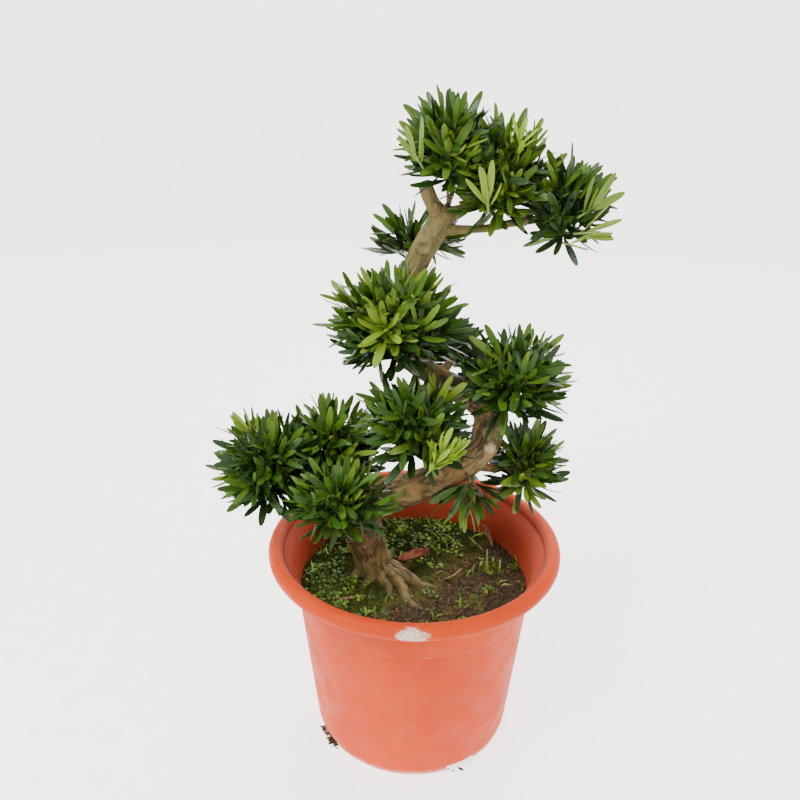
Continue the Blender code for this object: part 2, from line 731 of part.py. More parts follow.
def make_mass(mass, masses, limbs, solids, stem_rings, stem_centre, tips, rng):
    """One mass: its stem, twigs that branch from it to the shoots, and leaves round each shoot."""
    stem_shape = tube_mesh(stem_rings, start_centre=stem_centre)
    stem = mesh_object(mass.name, *stem_shape, "leaf")
    parts = bpy.data.collections.new(mass.name + "_parts")
    bpy.context.scene.collection.children.link(parts)
    twigs, shoots = grow_twigs(mass, masses, limbs, solids, tips)
    trees = [BVHTree.FromPolygons(*twig) for twig in [stem_shape, *twigs]] + solids
    leaves = []

    def fits(place, own):
        if not holds(mass, masses, limbs, leaf_samples(*place)):
            return False
        tree = BVHTree.FromPolygons(*leaf_mesh(*place))
        return not any(tree.overlap(other) for k, other in enumerate(trees) if k != own)

    # The lowest leaves of every shoot go first, so that no shoot takes all the room
    turns = [rng.uniform(0, math.tau) for _ in shoots]
    for k in range(LEAVES_PER_SHOOT):
        for (tip, axis, own), turn in zip(shoots, turns):
            length = LEAF_LENGTH * rng.uniform(0.86, 1.06)
            angle = turn + math.radians(GOLDEN_DEG) * k
            share = (k + 0.5) / LEAVES_PER_SHOOT
            place = grow_leaf(tip, axis, angle, share, length, lambda p: fits(p, own))
            if place:
                leaves.append(leaf_mesh(*place))
                trees.append(BVHTree.FromPolygons(*leaves[-1]))
    for points, faces in twigs + leaves:
        mesh_object("part", points, faces, "leaf", parts)
    apply_boolean(stem, "UNION", parts, "MANIFOLD")
    keep_main_shell(stem)
    stem.data.calc_loop_triangles()
    print(mass.name, len(shoots), "shoots", len(leaves), "leaves", len(stem.data.loop_triangles), "triangles")


def main():
    clear_scene()
    make_pot()
    make_soil()
    trunk = trunk_limb()
    make_trunk(trunk)
    boughs = {name: bough_limb(trunk, *sizes) for name, sizes in BOUGHS.items()}
    for name, limb in boughs.items():
        make_bough(name, limb, trunk)
    solids = [surface_of(obj) for obj in bpy.context.scene.objects]
    masses = [Mass(f"foliage_{name}", *sizes) for name, sizes in MASSES.items()]
    grown = []
    for number, mass in enumerate(masses):
        rng = random.Random(100 + number)
        tips = shoot_tips(mass, rng)
        mass.stem, rings, centre = stem_of(mass, trunk, boughs, tips[-1][0])
        grown.append((rings, centre, tips, rng))
    for mass, (rings, centre, tips, rng) in zip(masses, grown):
        limbs = [trunk, *boughs.values(), *(m.stem for m in masses if m is not mass)]
        make_mass(mass, masses, limbs, solids, rings, centre, tips, rng)


main()
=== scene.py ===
"""Looks of the podocarpus: bark, twigs, leaves, buds, pot, soil with its moss, camera and light.

Metres, +Z up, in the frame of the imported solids: the origin is the centre of the pot's underside.
The limbs and the masses of foliage are worked out from the same sizes as the solids, and the growth
rule is carried on to finer twigs and to leaves of life size.
"""

import math
import random

import bpy
import numpy as np
from mathutils import Matrix, Vector, noise


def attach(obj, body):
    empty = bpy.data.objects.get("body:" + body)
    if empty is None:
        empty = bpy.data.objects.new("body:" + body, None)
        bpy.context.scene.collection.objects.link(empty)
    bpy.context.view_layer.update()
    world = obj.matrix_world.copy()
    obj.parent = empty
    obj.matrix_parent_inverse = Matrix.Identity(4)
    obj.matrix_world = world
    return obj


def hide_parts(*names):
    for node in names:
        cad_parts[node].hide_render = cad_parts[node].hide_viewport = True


# Camera: place, pitch down and roll in radians, and a sensor as wide as the lens is long
CAMERA_AT = (-0.0171, -0.7555, 0.7267)
CAMERA_PITCH = 0.4034
CAMERA_ROLL = 0.0086
SENSOR_MM = 36.0

# Light: the sky's strength, and each lamp's place, power and width. The floor glows, less in front
# of the pot, between FRONT_ENDS in y, and turns up behind
SKY_STRENGTH = 1.10
LAMPS = (
    ("key", (-0.9, -1.0, 1.9), 52, 0.8),
    ("fill", (1.3, -0.8, 1.1), 10, 1.2),
    ("back", (0.3, 1.4, 1.7), 26, 1.0),
)
FLOOR_GLOW = 2.1
FRONT_GLOW_SHARE = 0.25
FRONT_ENDS = (-0.50, -0.18)
SWEEP_START = 2.2
SWEEP_RADIUS = 1.2

# Pot: a tapered wall, a band under a rolled rim, and a flat underside with four drain notches
POT_SIDES = 160
POT_HEIGHT = 0.241
RIM_RADIUS = 0.160
RIM_ROLL = 0.0085
BASE_RADIUS = 0.1055
WALL = 0.003
WALL_LOW = (0.1125, 0.015)
WALL_HIGH = (0.1298, 0.1836)
BAND_STEP = 0.0030
POT_FLOOR = 0.005
NOTCH_COUNT = 4
NOTCH_FIRST_DEG = 30.0
NOTCH_WIDTH = 0.040
NOTCH_HEIGHT = 0.012
NOTCH_INNER = 0.094

# Ground: the height of the solid soil, and of the moss and litter that lie on it
GROUND = 0.1830
GROUND_RADIUS = 0.1263
GROUND_RISE = 0.0016
MOSS_BLADES = 17000
MULCH_CRUMBS = 1500
WEED_TRIES = 520
MOSS_HALF_WIDTH = 0.00045
GRASS_HALF_WIDTH = 0.0013
# Crumbs of soil washed out at each drain notch
WASHED_OUT = (10, 14, 110, 4)
# Dry leaves: x, y, direction in degrees, length, bend, rise and roll
FALLEN_LEAVES = (
    (-0.0880, -0.0450, 13, 0.037, -0.15, 0.05, 0.3),
    (0.0960, 0.0580, 115, 0.030, 0.25, 0.85, 0.6),
    (0.0850, 0.0500, 140, 0.026, -0.20, 0.60, -0.5),
    (0.0300, -0.0100, 20, 0.030, 0.50, 0.05, 0.8),
    (-0.1080, 0.0380, 80, 0.034, 0.20, 1.60, 0.4),
)
# Grass: x, y, number of blades and their length
GRASS_TUFTS = (
    (-0.017, 0.080, 5, 0.034),
    (-0.019, 0.092, 4, 0.030),
    (0.011, 0.065, 4, 0.022),
    (0.026, 0.058, 4, 0.030),
    (0.035, 0.066, 4, 0.028),
    (0.024, 0.092, 5, 0.030),
    (0.048, 0.074, 3, 0.020),
    (0.072, 0.066, 4, 0.026),
    (0.085, 0.078, 4, 0.030),
    (0.084, 0.010, 5, 0.032),
    (0.098, 0.014, 5, 0.026),
    (0.114, 0.023, 4, 0.024),
    (0.062, 0.005, 3, 0.018),
    (0.082, -0.037, 4, 0.024),
    (0.100, -0.020, 3, 0.018),
    (0.052, -0.058, 3, 0.016),
    (0.020, -0.076, 3, 0.014),
    (-0.030, -0.048, 3, 0.013),
    (-0.104, 0.050, 4, 0.040),
    (-0.110, 0.004, 3, 0.034),
    (-0.045, -0.070, 3, 0.013),
)

# Trunk: points of its centreline with the radius at each, from the ground to the leader's tip
TRUNK_KNOTS = (
    (-0.041, 0.014, 0.175, 0.0235),
    (-0.050, 0.016, 0.213, 0.0212),
    (-0.057, 0.012, 0.253, 0.0200),
    (-0.0465, 0.000, 0.286, 0.0194),
    (0.010, -0.012, 0.313, 0.0176),
    (0.061, -0.006, 0.344, 0.0168),
    (0.0755, 0.004, 0.369, 0.0162),
    (0.068, 0.016, 0.394, 0.0150),
    (0.016, 0.024, 0.424, 0.0122),
    (-0.0267, 0.014, 0.461, 0.0113),
    (-0.0239, 0.016, 0.490, 0.0110),
    (-0.0006, 0.022, 0.545, 0.0120),
    (0.0228, 0.022, 0.5868, 0.0120),
    (0.0270, 0.022, 0.597, 0.0102),
)

# Limbs: the spacing of their samples, and the sides of a tube
LIMB_STEP = 0.004
LIMB_SIDES = 24

# Bark: the width and length of a patch of its grain, the fineness of the skin, how deep each kind
# of relief is, and its knots, with the place, size and height of each
FIBRE_WIDTH = 0.0050
FIBRE_LENGTH = 0.013
BARK_VOXEL = 0.0009
GRAIN_RELIEF = 0.00085
FINE_RELIEF = 0.0007
BROAD_RELIEF = 0.0009
KNOTS_ON_BARK = (
    ((0.0045, 0.0110, 0.560), 0.0075, 0.0022),
    ((0.0745, -0.0120, 0.358), 0.0090, 0.0012),
    ((-0.0300, 0.0030, 0.474), 0.0060, 0.0018),
    ((-0.0680, 0.0000, 0.240), 0.0080, 0.0020),
    ((0.0200, -0.0290, 0.318), 0.0075, 0.0016),
)
CUT_SIDES = 28

# Root flare: direction in degrees from +X, reach along the ground, and radius at the trunk
ROOTS = (
    (2, 0.058, 0.0066),
    (-23, 0.086, 0.0076),
    (-38, 0.064, 0.0078),
    (-51, 0.106, 0.0066),
    (-76, 0.050, 0.0068),
    (-108, 0.044, 0.0064),
    (-155, 0.048, 0.0070),
    (135, 0.046, 0.0072),
    (62, 0.050, 0.0070),
)
ROOT_START = 0.010
ROOT_TIP_SHARE = 0.35

# Boughs: height on the trunk where each leaves it, a point it bends through, its tip, and its radii
BOUGHS = {
    "bough_low_left": (0.246, (-0.090, 0.000, 0.263), (-0.132, -0.004, 0.292), 0.0085, 0.0050),
    "bough_centre": (0.322, (0.021, -0.035, 0.338), (0.011, -0.045, 0.356), 0.0065, 0.0042),
    "bough_right_low": (0.336, (0.086, 0.006, 0.323), (0.100, 0.010, 0.321), 0.0052, 0.0036),
    "bough_right_mid": (0.384, (0.086, 0.008, 0.394), (0.092, 0.002, 0.406), 0.0060, 0.0040),
    "bough_back_mid": (0.421, (0.034, 0.050, 0.424), (0.041, 0.062, 0.428), 0.0055, 0.0038),
    "bough_back_upper": (0.549, (-0.002, 0.040, 0.549), (-0.006, 0.050, 0.552), 0.0052, 0.0036),
    "bough_top_middle": (0.588, (0.046, 0.017, 0.597), (0.066, 0.016, 0.606), 0.0058, 0.0036),
    "bough_top_right": (0.574, (0.062, 0.010, 0.5785), (0.112, 0.008, 0.589), 0.0050, 0.0030),
    "cut_stub": (0.585, (0.0108, 0.017, 0.603), (0.0040, 0.014, 0.6200), 0.0082, 0.0067),
}
TRUNK_NODES = ("trunk_foot", "trunk_low_arm", "trunk_mid_arm", "trunk_leader")

# Masses of foliage: the bough or the height on the trunk that carries the stem, the hub where it
# forks, the centre and half sizes of the space, and the number of main shoots
MASSES = {
    "top_left": ("trunk_leader", (0.031, 0.016, 0.615), (0.026, 0.003, 0.655), (0.054, 0.058, 0.055), 7),
    "top_middle": ("top_middle", (0.076, 0.016, 0.614), (0.074, 0.010, 0.627), (0.064, 0.060, 0.059), 7),
    "top_right": ("top_right", (0.124, 0.008, 0.594), (0.137, 0.007, 0.603), (0.052, 0.055, 0.056), 7),
    "back_upper": ("back_upper", (-0.006, 0.060, 0.556), (0.000, 0.060, 0.563), (0.062, 0.044, 0.035), 5),
    "mid_left": (0.466, (-0.036, -0.014, 0.478), (-0.022, -0.006, 0.489), (0.077, 0.066, 0.064), 7),
    "back_mid": ("back_mid", (0.044, 0.076, 0.432), (0.043, 0.080, 0.436), (0.050, 0.044, 0.036), 4),
    "right_mid": ("right_mid", (0.098, -0.004, 0.418), (0.095, -0.002, 0.431), (0.069, 0.062, 0.063), 7),
    "right_low": ("right_low", (0.112, 0.010, 0.322), (0.117, 0.014, 0.326), (0.050, 0.052, 0.056), 7),
    "under": (0.333, (0.062, -0.030, 0.318), (0.054, -0.036, 0.308), (0.040, 0.034, 0.032), 2),
    "centre": ("centre", (0.004, -0.050, 0.374), (-0.002, -0.046, 0.397), (0.066, 0.058, 0.058), 7),
    "low_outer": ("low_left", (-0.148, -0.006, 0.306), (-0.154, -0.005, 0.332), (0.065, 0.066, 0.066), 7),
    "low_inner": (0.284, (-0.074, 0.018, 0.320), (-0.090, 0.022, 0.338), (0.064, 0.058, 0.063), 7),
    "low_front": (0.266, (-0.076, -0.040, 0.296), (-0.078, -0.048, 0.314), (0.062, 0.050, 0.050), 7),
}

# Growth rule, the same as the solids': radii of the wood, how far a shoot's tip stays inside its
# space in leaves of the solids and at least from its centre, how low the lowest shoots hang, how
# far shoots lean out at the top and low down, and where on the stem the first twig leaves it
STEM_RADIUS = 0.0024
TWIG_RADIUS = 0.0015
SHOOT_RADIUS = 0.0010
TIP_INSET_SHARE = 0.72
LEAST_TIP_SHARE = 0.42
CAD_LEAF_LENGTH = 0.051
DROOP = 0.45
LEAN_TOP_DEG = 6.0
LEAN_LOW_DEG = 66.0
JITTER = 0.10
SPINE_FIRST_SHARE = 0.10
GOLDEN_DEG = 137.508

# Side shoots between the main ones: places tried in each mass, their least spacing, how deep in
# its space a tip lies, how far from the edge in leaves, and the length of stem that bears leaves
FILL_TRIES = 700
FILL_SPACING = 0.0165
FILL_DEPTH = 0.80
FILL_INSET_SHARE = 0.66
SHOOT_LEAFY_LENGTH = 0.020

# Leaves of life size. They stand off the shoot by LEAF_LOW_DEG at its foot, or NEW_LOW_DEG on new
# growth, and by LEAF_HIGH_DEG at its tip. Past LEAF_TIP_STARTS they get shorter. A leaf that passes
# LEAF_EDGE, as a share of its space, is tried once more, shorter
LEAF_LENGTH = 0.0410
LEAF_HALF_WIDTH = 0.0041
LEAVES_PER_SHOOT = 14
YOUNG_LEAVES = 4
LEAF_LOW_DEG = 82.0
LEAF_HIGH_DEG = 9.0
NEW_LOW_DEG = 46.0
LEAF_FIT_SHARES = (1.0, 0.85)
LEAF_TIP_STARTS = 0.72
LEAF_EDGE = 1.10
LIMB_CLEARANCE = 0.0006
NEIGHBOUR_OVERLAP = 0.30
# A leaf's width along its length, both as shares, and the height of its midrib and edges across
LEAF_STATIONS = (
    (0.00, 0.14),
    (0.07, 0.30),
    (0.20, 0.64),
    (0.38, 0.90),
    (0.57, 1.00),
    (0.76, 0.90),
    (0.89, 0.68),
    (0.97, 0.40),
    (1.00, 0.12),
)
LEAF_COLUMNS = ((-1.0, -0.0008), (-0.16, 0.0004), (0.0, -0.0003), (0.16, 0.0004), (1.0, -0.0008))

# Leaf colours, darkest first: by age, oldest darkest, and by painted light and shade, lighter high in a mass
# and darker low and behind
LEAF_COLOURS = {
    "leaves_deep": (0.014, 0.040, 0.004),
    "leaves_dark": (0.030, 0.076, 0.006),
    "leaves_green": (0.062, 0.130, 0.009),
    "leaves_fresh_and_painted_light": (0.130, 0.215, 0.017),
    "leaves_light": (0.165, 0.255, 0.016),
    "leaves_lime": (0.260, 0.410, 0.018),
}
LEAF_GROUPS = tuple(LEAF_COLOURS)
# How often a shoot of each group comes, by mass where one differs from the rest. The masses at the back and
# the one underneath draw darker groups: painted shade
USUAL_SHARES = (0.34, 0.38, 0.20, 0.07, 0.01, 0.0)
SHARES = {
    "top_left": (0.14, 0.32, 0.32, 0.18, 0.04, 0.0),
    "top_middle": (0.12, 0.30, 0.34, 0.18, 0.04, 0.02),
    "top_right": (0.16, 0.30, 0.26, 0.18, 0.10, 0.0),
    "back_upper": (0.40, 0.40, 0.20, 0.0, 0.0, 0.0),
    "mid_left": (0.26, 0.36, 0.26, 0.11, 0.01, 0.0),
    "back_mid": (0.60, 0.35, 0.05, 0.0, 0.0, 0.0),
    "under": (0.30, 0.45, 0.25, 0.0, 0.0, 0.0),
}
# New growth with a place of its own: root, direction, group, and length as a share of a full leaf
NEW_SHOOTS = (
    ((0.014, -0.090, 0.374), (0.50, -0.20, 0.84), "leaves_lime", 0.76),
    ((0.027, -0.088, 0.380), (0.62, -0.10, 0.76), "leaves_lime", 0.72),
    ((0.021, -0.094, 0.388), (0.28, -0.35, 0.88), "leaves_lime", 0.66),
    ((0.086, -0.024, 0.656), (0.10, -0.20, 0.96), "leaves_lime", 0.50),
    ((0.096, -0.016, 0.654), (0.30, -0.10, 0.94), "leaves_light", 0.55),
    ((0.058, -0.048, 0.612), (-0.10, -0.45, 0.88), "leaves_light", 0.80),
    ((-0.004, -0.040, 0.648), (-0.50, -0.30, 0.82), "leaves_fresh_and_painted_light", 0.80),
    ((0.150, -0.034, 0.584), (0.90, -0.30, 0.15), "leaves_light", 0.90),
    ((0.140, -0.036, 0.572), (0.80, -0.40, -0.15), "leaves_light", 0.90),
    ((0.150, -0.030, 0.602), (0.75, -0.30, 0.55), "leaves_fresh_and_painted_light", 0.95),
)


def smooth_step(value, low, high):
    share = np.clip((value - low) / (high - low), 0, 1)
    return share * share * (3 - 2 * share)


def unit(vector):
    return vector / np.linalg.norm(vector)


def around(degrees, rise=0.0):
    """A vector that points level in a direction in degrees from +X, with a rise."""
    angle = math.radians(degrees)
    return np.array([math.cos(angle), math.sin(angle), rise])


def link(obj):
    bpy.context.scene.collection.objects.link(obj)
    return obj


def apply(obj, modifier):
    with bpy.context.temp_override(object=obj, active_object=obj):
        bpy.ops.object.modifier_apply(modifier=modifier.name)


def object_from(name, points, faces, material, smooth=True):
    mesh = bpy.data.meshes.new(name)
    mesh.from_pydata(np.asarray(points).tolist(), [], faces)
    mesh.materials.append(material)
    if smooth:
        mesh.shade_smooth()
    return link(bpy.data.objects.new(name, mesh))


def grid_faces(rows, columns):
    """Quads between the points of a sheet, given row by row."""
    corners = (0, 1, columns + 1, columns)
    places = [row * columns + k for row in range(rows - 1) for k in range(columns - 1)]
    return [tuple(place + step for step in corners) for place in places]


def ring_faces(rows, sides, first=0, flipped=False):
    """Quads between closed rings of points that follow one another from index first."""
    faces = []
    for row in range(rows - 1):
        low = first + row * sides
        for k in range(sides):
            n = (k + 1) % sides
            quad = (low + k, low + n, low + sides + n, low + sides + k)
            faces.append((quad[0], *quad[:0:-1]) if flipped else quad)
    return faces


class Batch:
    """Many small meshes gathered into one piece."""

    def __init__(self, name):
        self.name = name
        self.points = []
        self.faces = []
        self.count = 0

    def add(self, points, faces):
        self.points.append(np.asarray(points))
        self.faces.extend(tuple(i + self.count for i in face) for face in faces)
        self.count += len(points)

    def build(self, material, smooth=True):
        return object_from(self.name, np.concatenate(self.points), self.faces, material, smooth)


# Node helpers


def feed(socket, value):
    """Links a socket to another node's output, or gives it a value. Colours are tuples of three."""
    if isinstance(value, bpy.types.NodeSocket):
        socket.id_data.links.new(value, socket)
    elif isinstance(value, tuple) and socket.type == "RGBA":
        socket.default_value = (*value, 1.0)
    else:
        socket.default_value = value


def new_material(name, roughness, **inputs):
    """A Principled material, with inputs given by name in lower case with underscores."""
    made = bpy.data.materials.new(name)
    made.use_nodes = True
    shader = made.node_tree.nodes["Principled BSDF"]
    shader.inputs["Roughness"].default_value = roughness
    for key, value in inputs.items():
        feed(shader.inputs[key.replace("_", " ").title().replace("Ior", "IOR")], value)
    return made, made.node_tree, shader


def node(tree, kind, **values):
    """A new node, with its inputs and settings given by name."""
    made = tree.nodes.new(kind)
    for key, value in values.items():
        if key in made.inputs:
            feed(made.inputs[key], value)
        else:
            setattr(made, key, value)
    return made


def position(tree, scale=(1, 1, 1)):
    """Object coordinates, stretched."""
    coordinates = node(tree, "ShaderNodeTexCoord").outputs["Object"]
    return node(tree, "ShaderNodeMapping", Scale=scale, Vector=coordinates).outputs["Vector"]


def coordinate(tree, axis):
    return node(tree, "ShaderNodeSeparateXYZ", Vector=position(tree)).outputs[axis]


def noise_at(vector, scale, detail=4.0, roughness=0.55):
    kind = "ShaderNodeTexNoise"
    made = node(vector.id_data, kind, Scale=scale, Detail=detail, Roughness=roughness, Vector=vector)
    return made.outputs["Fac"]


def remap(value, low, high, to_low=0.0, to_high=1.0):
    made = node(value.id_data, "ShaderNodeMapRange", interpolation_type="SMOOTHSTEP", Value=value)
    for key, number in (("From Min", low), ("From Max", high), ("To Min", to_low), ("To Max", to_high)):
        made.inputs[key].default_value = number
    return made.outputs["Result"]


def patches(vector, scale, detail, low, high, to_low=0.0, to_high=1.0, roughness=0.55):
    """Noise sharpened to patches: to_low where it is under low, and to_high where it is over high."""
    return remap(noise_at(vector, scale, detail, roughness), low, high, to_low, to_high)


def math_of(operation, a, b):
    made = node(a.id_data, "ShaderNodeMath", operation=operation)
    feed(made.inputs[0], a)
    feed(made.inputs[1], b)
    return made.outputs["Value"]


def mixed(share, a, b):
    """Colour a where share is 0 and b where it is 1. Each is a colour or a socket."""
    made = node(share.id_data, "ShaderNodeMix", data_type="RGBA")
    for number, value in ((0, share), (6, a), (7, b)):
        feed(made.inputs[number], value)
    return made.outputs[2]


def bump(shader, height, distance, after=None):
    made = node(shader.id_data, "ShaderNodeBump", Strength=1.0, Distance=distance, Height=height)
    if after:
        feed(made.inputs["Normal"], after)
    feed(shader.inputs["Normal"], made.outputs["Normal"])
    return made.outputs["Normal"]


def near_point(tree, point, radius, ragged, stretch=(1, 1, 1)):
    """1 near a point, given in stretched coordinates, and 0 away from it, with a ragged edge."""
    place = position(tree, stretch)
    away = node(tree, "ShaderNodeVectorMath", operation="DISTANCE")
    feed(away.inputs[0], place)
    feed(away.inputs[1], point)
    rough = math_of("MULTIPLY", noise_at(place, ragged, 5.0), radius)
    return remap(math_of("ADD", away.outputs["Value"], rough), radius * 1.3, radius * 1.6, 1.0, 0.0)


# Finishes


def pot_finish(name, clean, worn, dusty):
    """Faded plastic: patches, dust, scuffs in rings, specks, chalky grime round the foot, and pale scuffs
    along the ledge that are partly a painted highlight.
    """
    made, tree, shader = new_material(name, 0.55, specular_ior_level=0.10)
    place = position(tree)
    height = coordinate(tree, "Z")
    colour = mixed(patches(place, 9, 3, 0.35, 0.7), clean, worn)
    colour = mixed(patches(place, 55, 6, 0.54, 0.80, 0, 0.30, 0.65), colour, dusty)
    rings = patches(position(tree, (1, 1, 12)), 30, 5, 0.62, 0.76, 0, 0.22, 0.7)
    colour = mixed(rings, colour, dusty)
    colour = mixed(patches(place, 420, 2, 0.72, 0.78, 0, 0.6), colour, (0.10, 0.05, 0.03))
    ragged = math_of("MULTIPLY", noise_at(place, 90, 6), 0.024)
    chalk = remap(math_of("ADD", height, ragged), 0.014, 0.026, 0.75, 0.0)
    # Pale scuffs along the ledge under the band, partly a painted highlight standing in for the light the
    # ledge catches
    ledge = math_of("ABSOLUTE", math_of("SUBTRACT", height, WALL_HIGH[1]), 0)
    scuffed = patches(place, 150, 5, 0.42, 0.60)
    ledge_scuffs_and_painted_highlight = math_of("MULTIPLY", remap(ledge, 0.0004, 0.0018, 0.45, 0.0), scuffed)
    colour = mixed(math_of("MAXIMUM", chalk, ledge_scuffs_and_painted_highlight), colour, (0.62, 0.34, 0.24))
    blotch = near_point(tree, (-0.0022, -0.1590, 0.2335), 0.0078, 210, (0.50, 1, 1))
    flakes = patches(place, 330, 6, 0.40, 0.56, 0.35, 0.95, 0.7)
    colour = mixed(math_of("MULTIPLY", blotch, flakes), colour, (0.72, 0.62, 0.54))
    rub = near_point(tree, (0.013, -0.1190, 0.0800), 0.010, 150, (0.6, 1, 1))
    streaks = patches(position(tree, (0.4, 1, 2.0)), 220, 3, 0.42, 0.60, 0.1, 0.7)
    colour = mixed(math_of("MULTIPLY", rub, streaks), colour, (0.55, 0.035, 0.014))
    feed(shader.inputs["Base Color"], colour)
    feed(shader.inputs["Roughness"], patches(place, 40, 5, 0.3, 0.7, 0.46, 0.66))
    pits = bump(shader, noise_at(place, 700, 3), 0.00012)
    bump(shader, noise_at(place, 26, 2), 0.0010, pits)
    return made


def soil_finish(name, dark, light, grain=260):
    made, tree, shader = new_material(name, 0.95, specular_ior_level=0.2)
    place = position(tree)
    colour = mixed(patches(place, grain, 6, 0.35, 0.68, roughness=0.7), dark, light)
    bits = patches(place, grain * 3, 3, 0.66, 0.72)
    feed(shader.inputs["Base Color"], mixed(bits, colour, tuple(2.2 * c for c in light)))
    fine = bump(shader, noise_at(place, grain * 2, 5, 0.7), 0.0012)
    bump(shader, noise_at(place, grain * 0.4, 4), 0.003, fine)
    return made


def bark_finish():
    """Fibres, rusty patches, algae, an olive tint high up, lichen, cracks, a scar, and bark darker just
    above the ground.
    """
    made, tree, shader = new_material("bark", 0.82, specular_ior_level=0.25)
    place = position(tree)
    height = coordinate(tree, "Z")
    grain = node(tree, "ShaderNodeAttribute", attribute_name="grain").outputs["Vector"]
    fibres = noise_at(grain, 1.0, 7, 0.68)
    colour = mixed(remap(fibres, 0.40, 0.60), (0.075, 0.050, 0.021), (0.270, 0.185, 0.078))
    colour = mixed(patches(place, 34, 5, 0.48, 0.66, 0, 0.70), colour, (0.33, 0.180, 0.062))
    colour = mixed(patches(place, 22, 5, 0.48, 0.66, 0, 0.70, 0.65), colour, (0.130, 0.140, 0.034))
    colour = mixed(remap(height, 0.44, 0.54, 0.0, 0.55), colour, (0.125, 0.115, 0.036))
    colour = mixed(patches(place, 150, 4, 0.66, 0.72, 0, 0.5), colour, (0.42, 0.36, 0.22))
    colour = mixed(patches(grain, 2.3, 5, 0.28, 0.38, 0.65, 0.0, 0.6), colour, (0.045, 0.028, 0.014))
    scar = near_point(tree, (0.0745, -0.012, 0.358), 0.0075, 120)
    colour = mixed(math_of("MULTIPLY", scar, 0.7), colour, (0.55, 0.42, 0.27))
    # The bark turns darker towards the soil, from 16 mm above it down
    bark_darker_near_ground = remap(height, GROUND + 0.003, GROUND + 0.016, 0.70, 0.0)
    feed(shader.inputs["Base Color"], mixed(bark_darker_near_ground, colour, (0.058, 0.050, 0.018)))
    fine = bump(shader, noise_at(grain, 3.2, 6, 0.7), 0.0008)
    bump(shader, fibres, 0.0013, fine)
    return made


def wood_finish():
    made, tree, shader = new_material("cut_wood", 0.8)
    rings = node(tree, "ShaderNodeTexWave", wave_type="RINGS", rings_direction="SPHERICAL")
    for key, value in (("Scale", 260), ("Distortion", 3.0), ("Vector", position(tree))):
        feed(rings.inputs[key], value)
    colour = mixed(rings.outputs["Fac"], (0.50, 0.38, 0.24), (0.34, 0.24, 0.14))
    feed(shader.inputs["Base Color"], colour)
    bump(shader, rings.outputs["Fac"], 0.0004)
    return made


def leaf_finish(name, colour, gloss):
    made, tree, shader = new_material(name, gloss, specular_ior_level=0.38, base_color=colour)
    place = position(tree)
    feed(shader.inputs["Roughness"], patches(place, 180, 4, 0.3, 0.7, gloss - 0.08, gloss + 0.12))
    bump(shader, noise_at(place, 900, 3), 0.00018)
    return made


def plain_finish(name, dark, light, scale, roughness=0.7, depth=0.0004):
    """Two tones mixed by noise, with relief of the same grain."""
    made, tree, shader = new_material(name, roughness, specular_ior_level=0.35)
    tone = noise_at(position(tree), scale, 5)
    feed(shader.inputs["Base Color"], mixed(remap(tone, 0.35, 0.65), dark, light))
    bump(shader, tone, depth)
    return made


# Limbs


def spline(knots, step):
    """Samples of a smooth curve through knots of any size, about step apart."""
    knots = np.asarray(knots, float)
    padded = np.vstack([2 * knots[0] - knots[1], knots, 2 * knots[-1] - knots[-2]])
    samples = []
    for a, b, c, d in zip(padded, padded[1:], padded[2:], padded[3:]):
        count = max(2, math.ceil(np.linalg.norm((c - b)[:3]) / step))
        square, cube = 2 * a - 5 * b + 4 * c - d, 3 * b - a - 3 * c + d
        for t in np.arange(count) / count:
            samples.append(0.5 * (2 * b + (c - a) * t + square * t * t + cube * t**3))
    samples.append(knots[-1])
    return np.array(samples)


def frames(path):
    """A tangent and two steady cross directions at each point of a path."""
    result = []
    side = None
    for i in range(len(path)):
        tangent = unit(path[min(i + 1, len(path) - 1)] - path[max(i - 1, 0)])
        if side is None:
            side = np.cross(tangent, (0, 1, 0))
            if np.linalg.norm(side) < 0.1:
                side = np.cross(tangent, (1, 0, 0))
        side = unit(side - tangent * side.dot(tangent))
        result.append((tangent, side, np.cross(tangent, side)))
    return result


def tube(path, radii, sides):
    """Points and faces of a closed tube along a path."""
    turns = math.tau * np.arange(sides) / sides
    rings = [
        centre + radius * (np.outer(np.cos(turns), side) + np.outer(np.sin(turns), across))
        for centre, radius, (_, side, across) in zip(path, radii, frames(path))
    ]
    ends = [tuple(range(sides))[::-1], tuple(range((len(rings) - 1) * sides, len(rings) * sides))]
    return np.concatenate(rings), ring_faces(len(rings), sides) + ends


def at_height(path, height):
    for a, b in zip(path, path[1:]):
        if a[2] <= height <= b[2]:
            return a + (b - a) * (height - a[2]) / (b[2] - a[2])
    return path[-1]


def bough_line(trunk, height, via, tip, base_radius, tip_radius):
    start = at_height(trunk[:, :3], height)
    knots = [
        (*start, base_radius * 1.15),
        (*(start + 0.55 * (np.array(via) - start)), base_radius),
        (*via, 0.55 * base_radius + 0.45 * tip_radius),
        (*tip, tip_radius),
    ]
    return spline(knots, LIMB_STEP)


def root_line(trunk, number, degrees, reach, radius):
    """One root, which sinks from the trunk to the ground and sways to one side on its way."""
    middle = np.array([trunk[0][0], trunk[0][1], GROUND])
    out = around(degrees)
    sway = np.array([-out[1], out[0], 0]) * (0.10 * reach * (-1) ** number)
    knots = [
        (*(middle + out * ROOT_START + (0, 0, 0.012)), radius * 1.05),
        (*(middle + out * (0.30 * reach + ROOT_START) + (0, 0, 0.0050)), radius * 0.90),
        (*(middle + out * (0.70 * reach) + sway + (0, 0, 0.0026)), radius * 0.72),
        (*(middle + out * reach + sway * 0.3), radius * ROOT_TIP_SHARE),
    ]
    return spline(knots, LIMB_STEP)


def fuse(obj, voxel):
    """Makes the closed tubes of a mesh one soft skin."""
    fused = obj.modifiers.new("fuse", "REMESH")
    fused.mode = "VOXEL"
    fused.voxel_size = voxel
    apply(obj, fused)
    softener = obj.modifiers.new("soften", "SMOOTH")
    softener.factor = 0.5
    softener.iterations = 3
    apply(obj, softener)


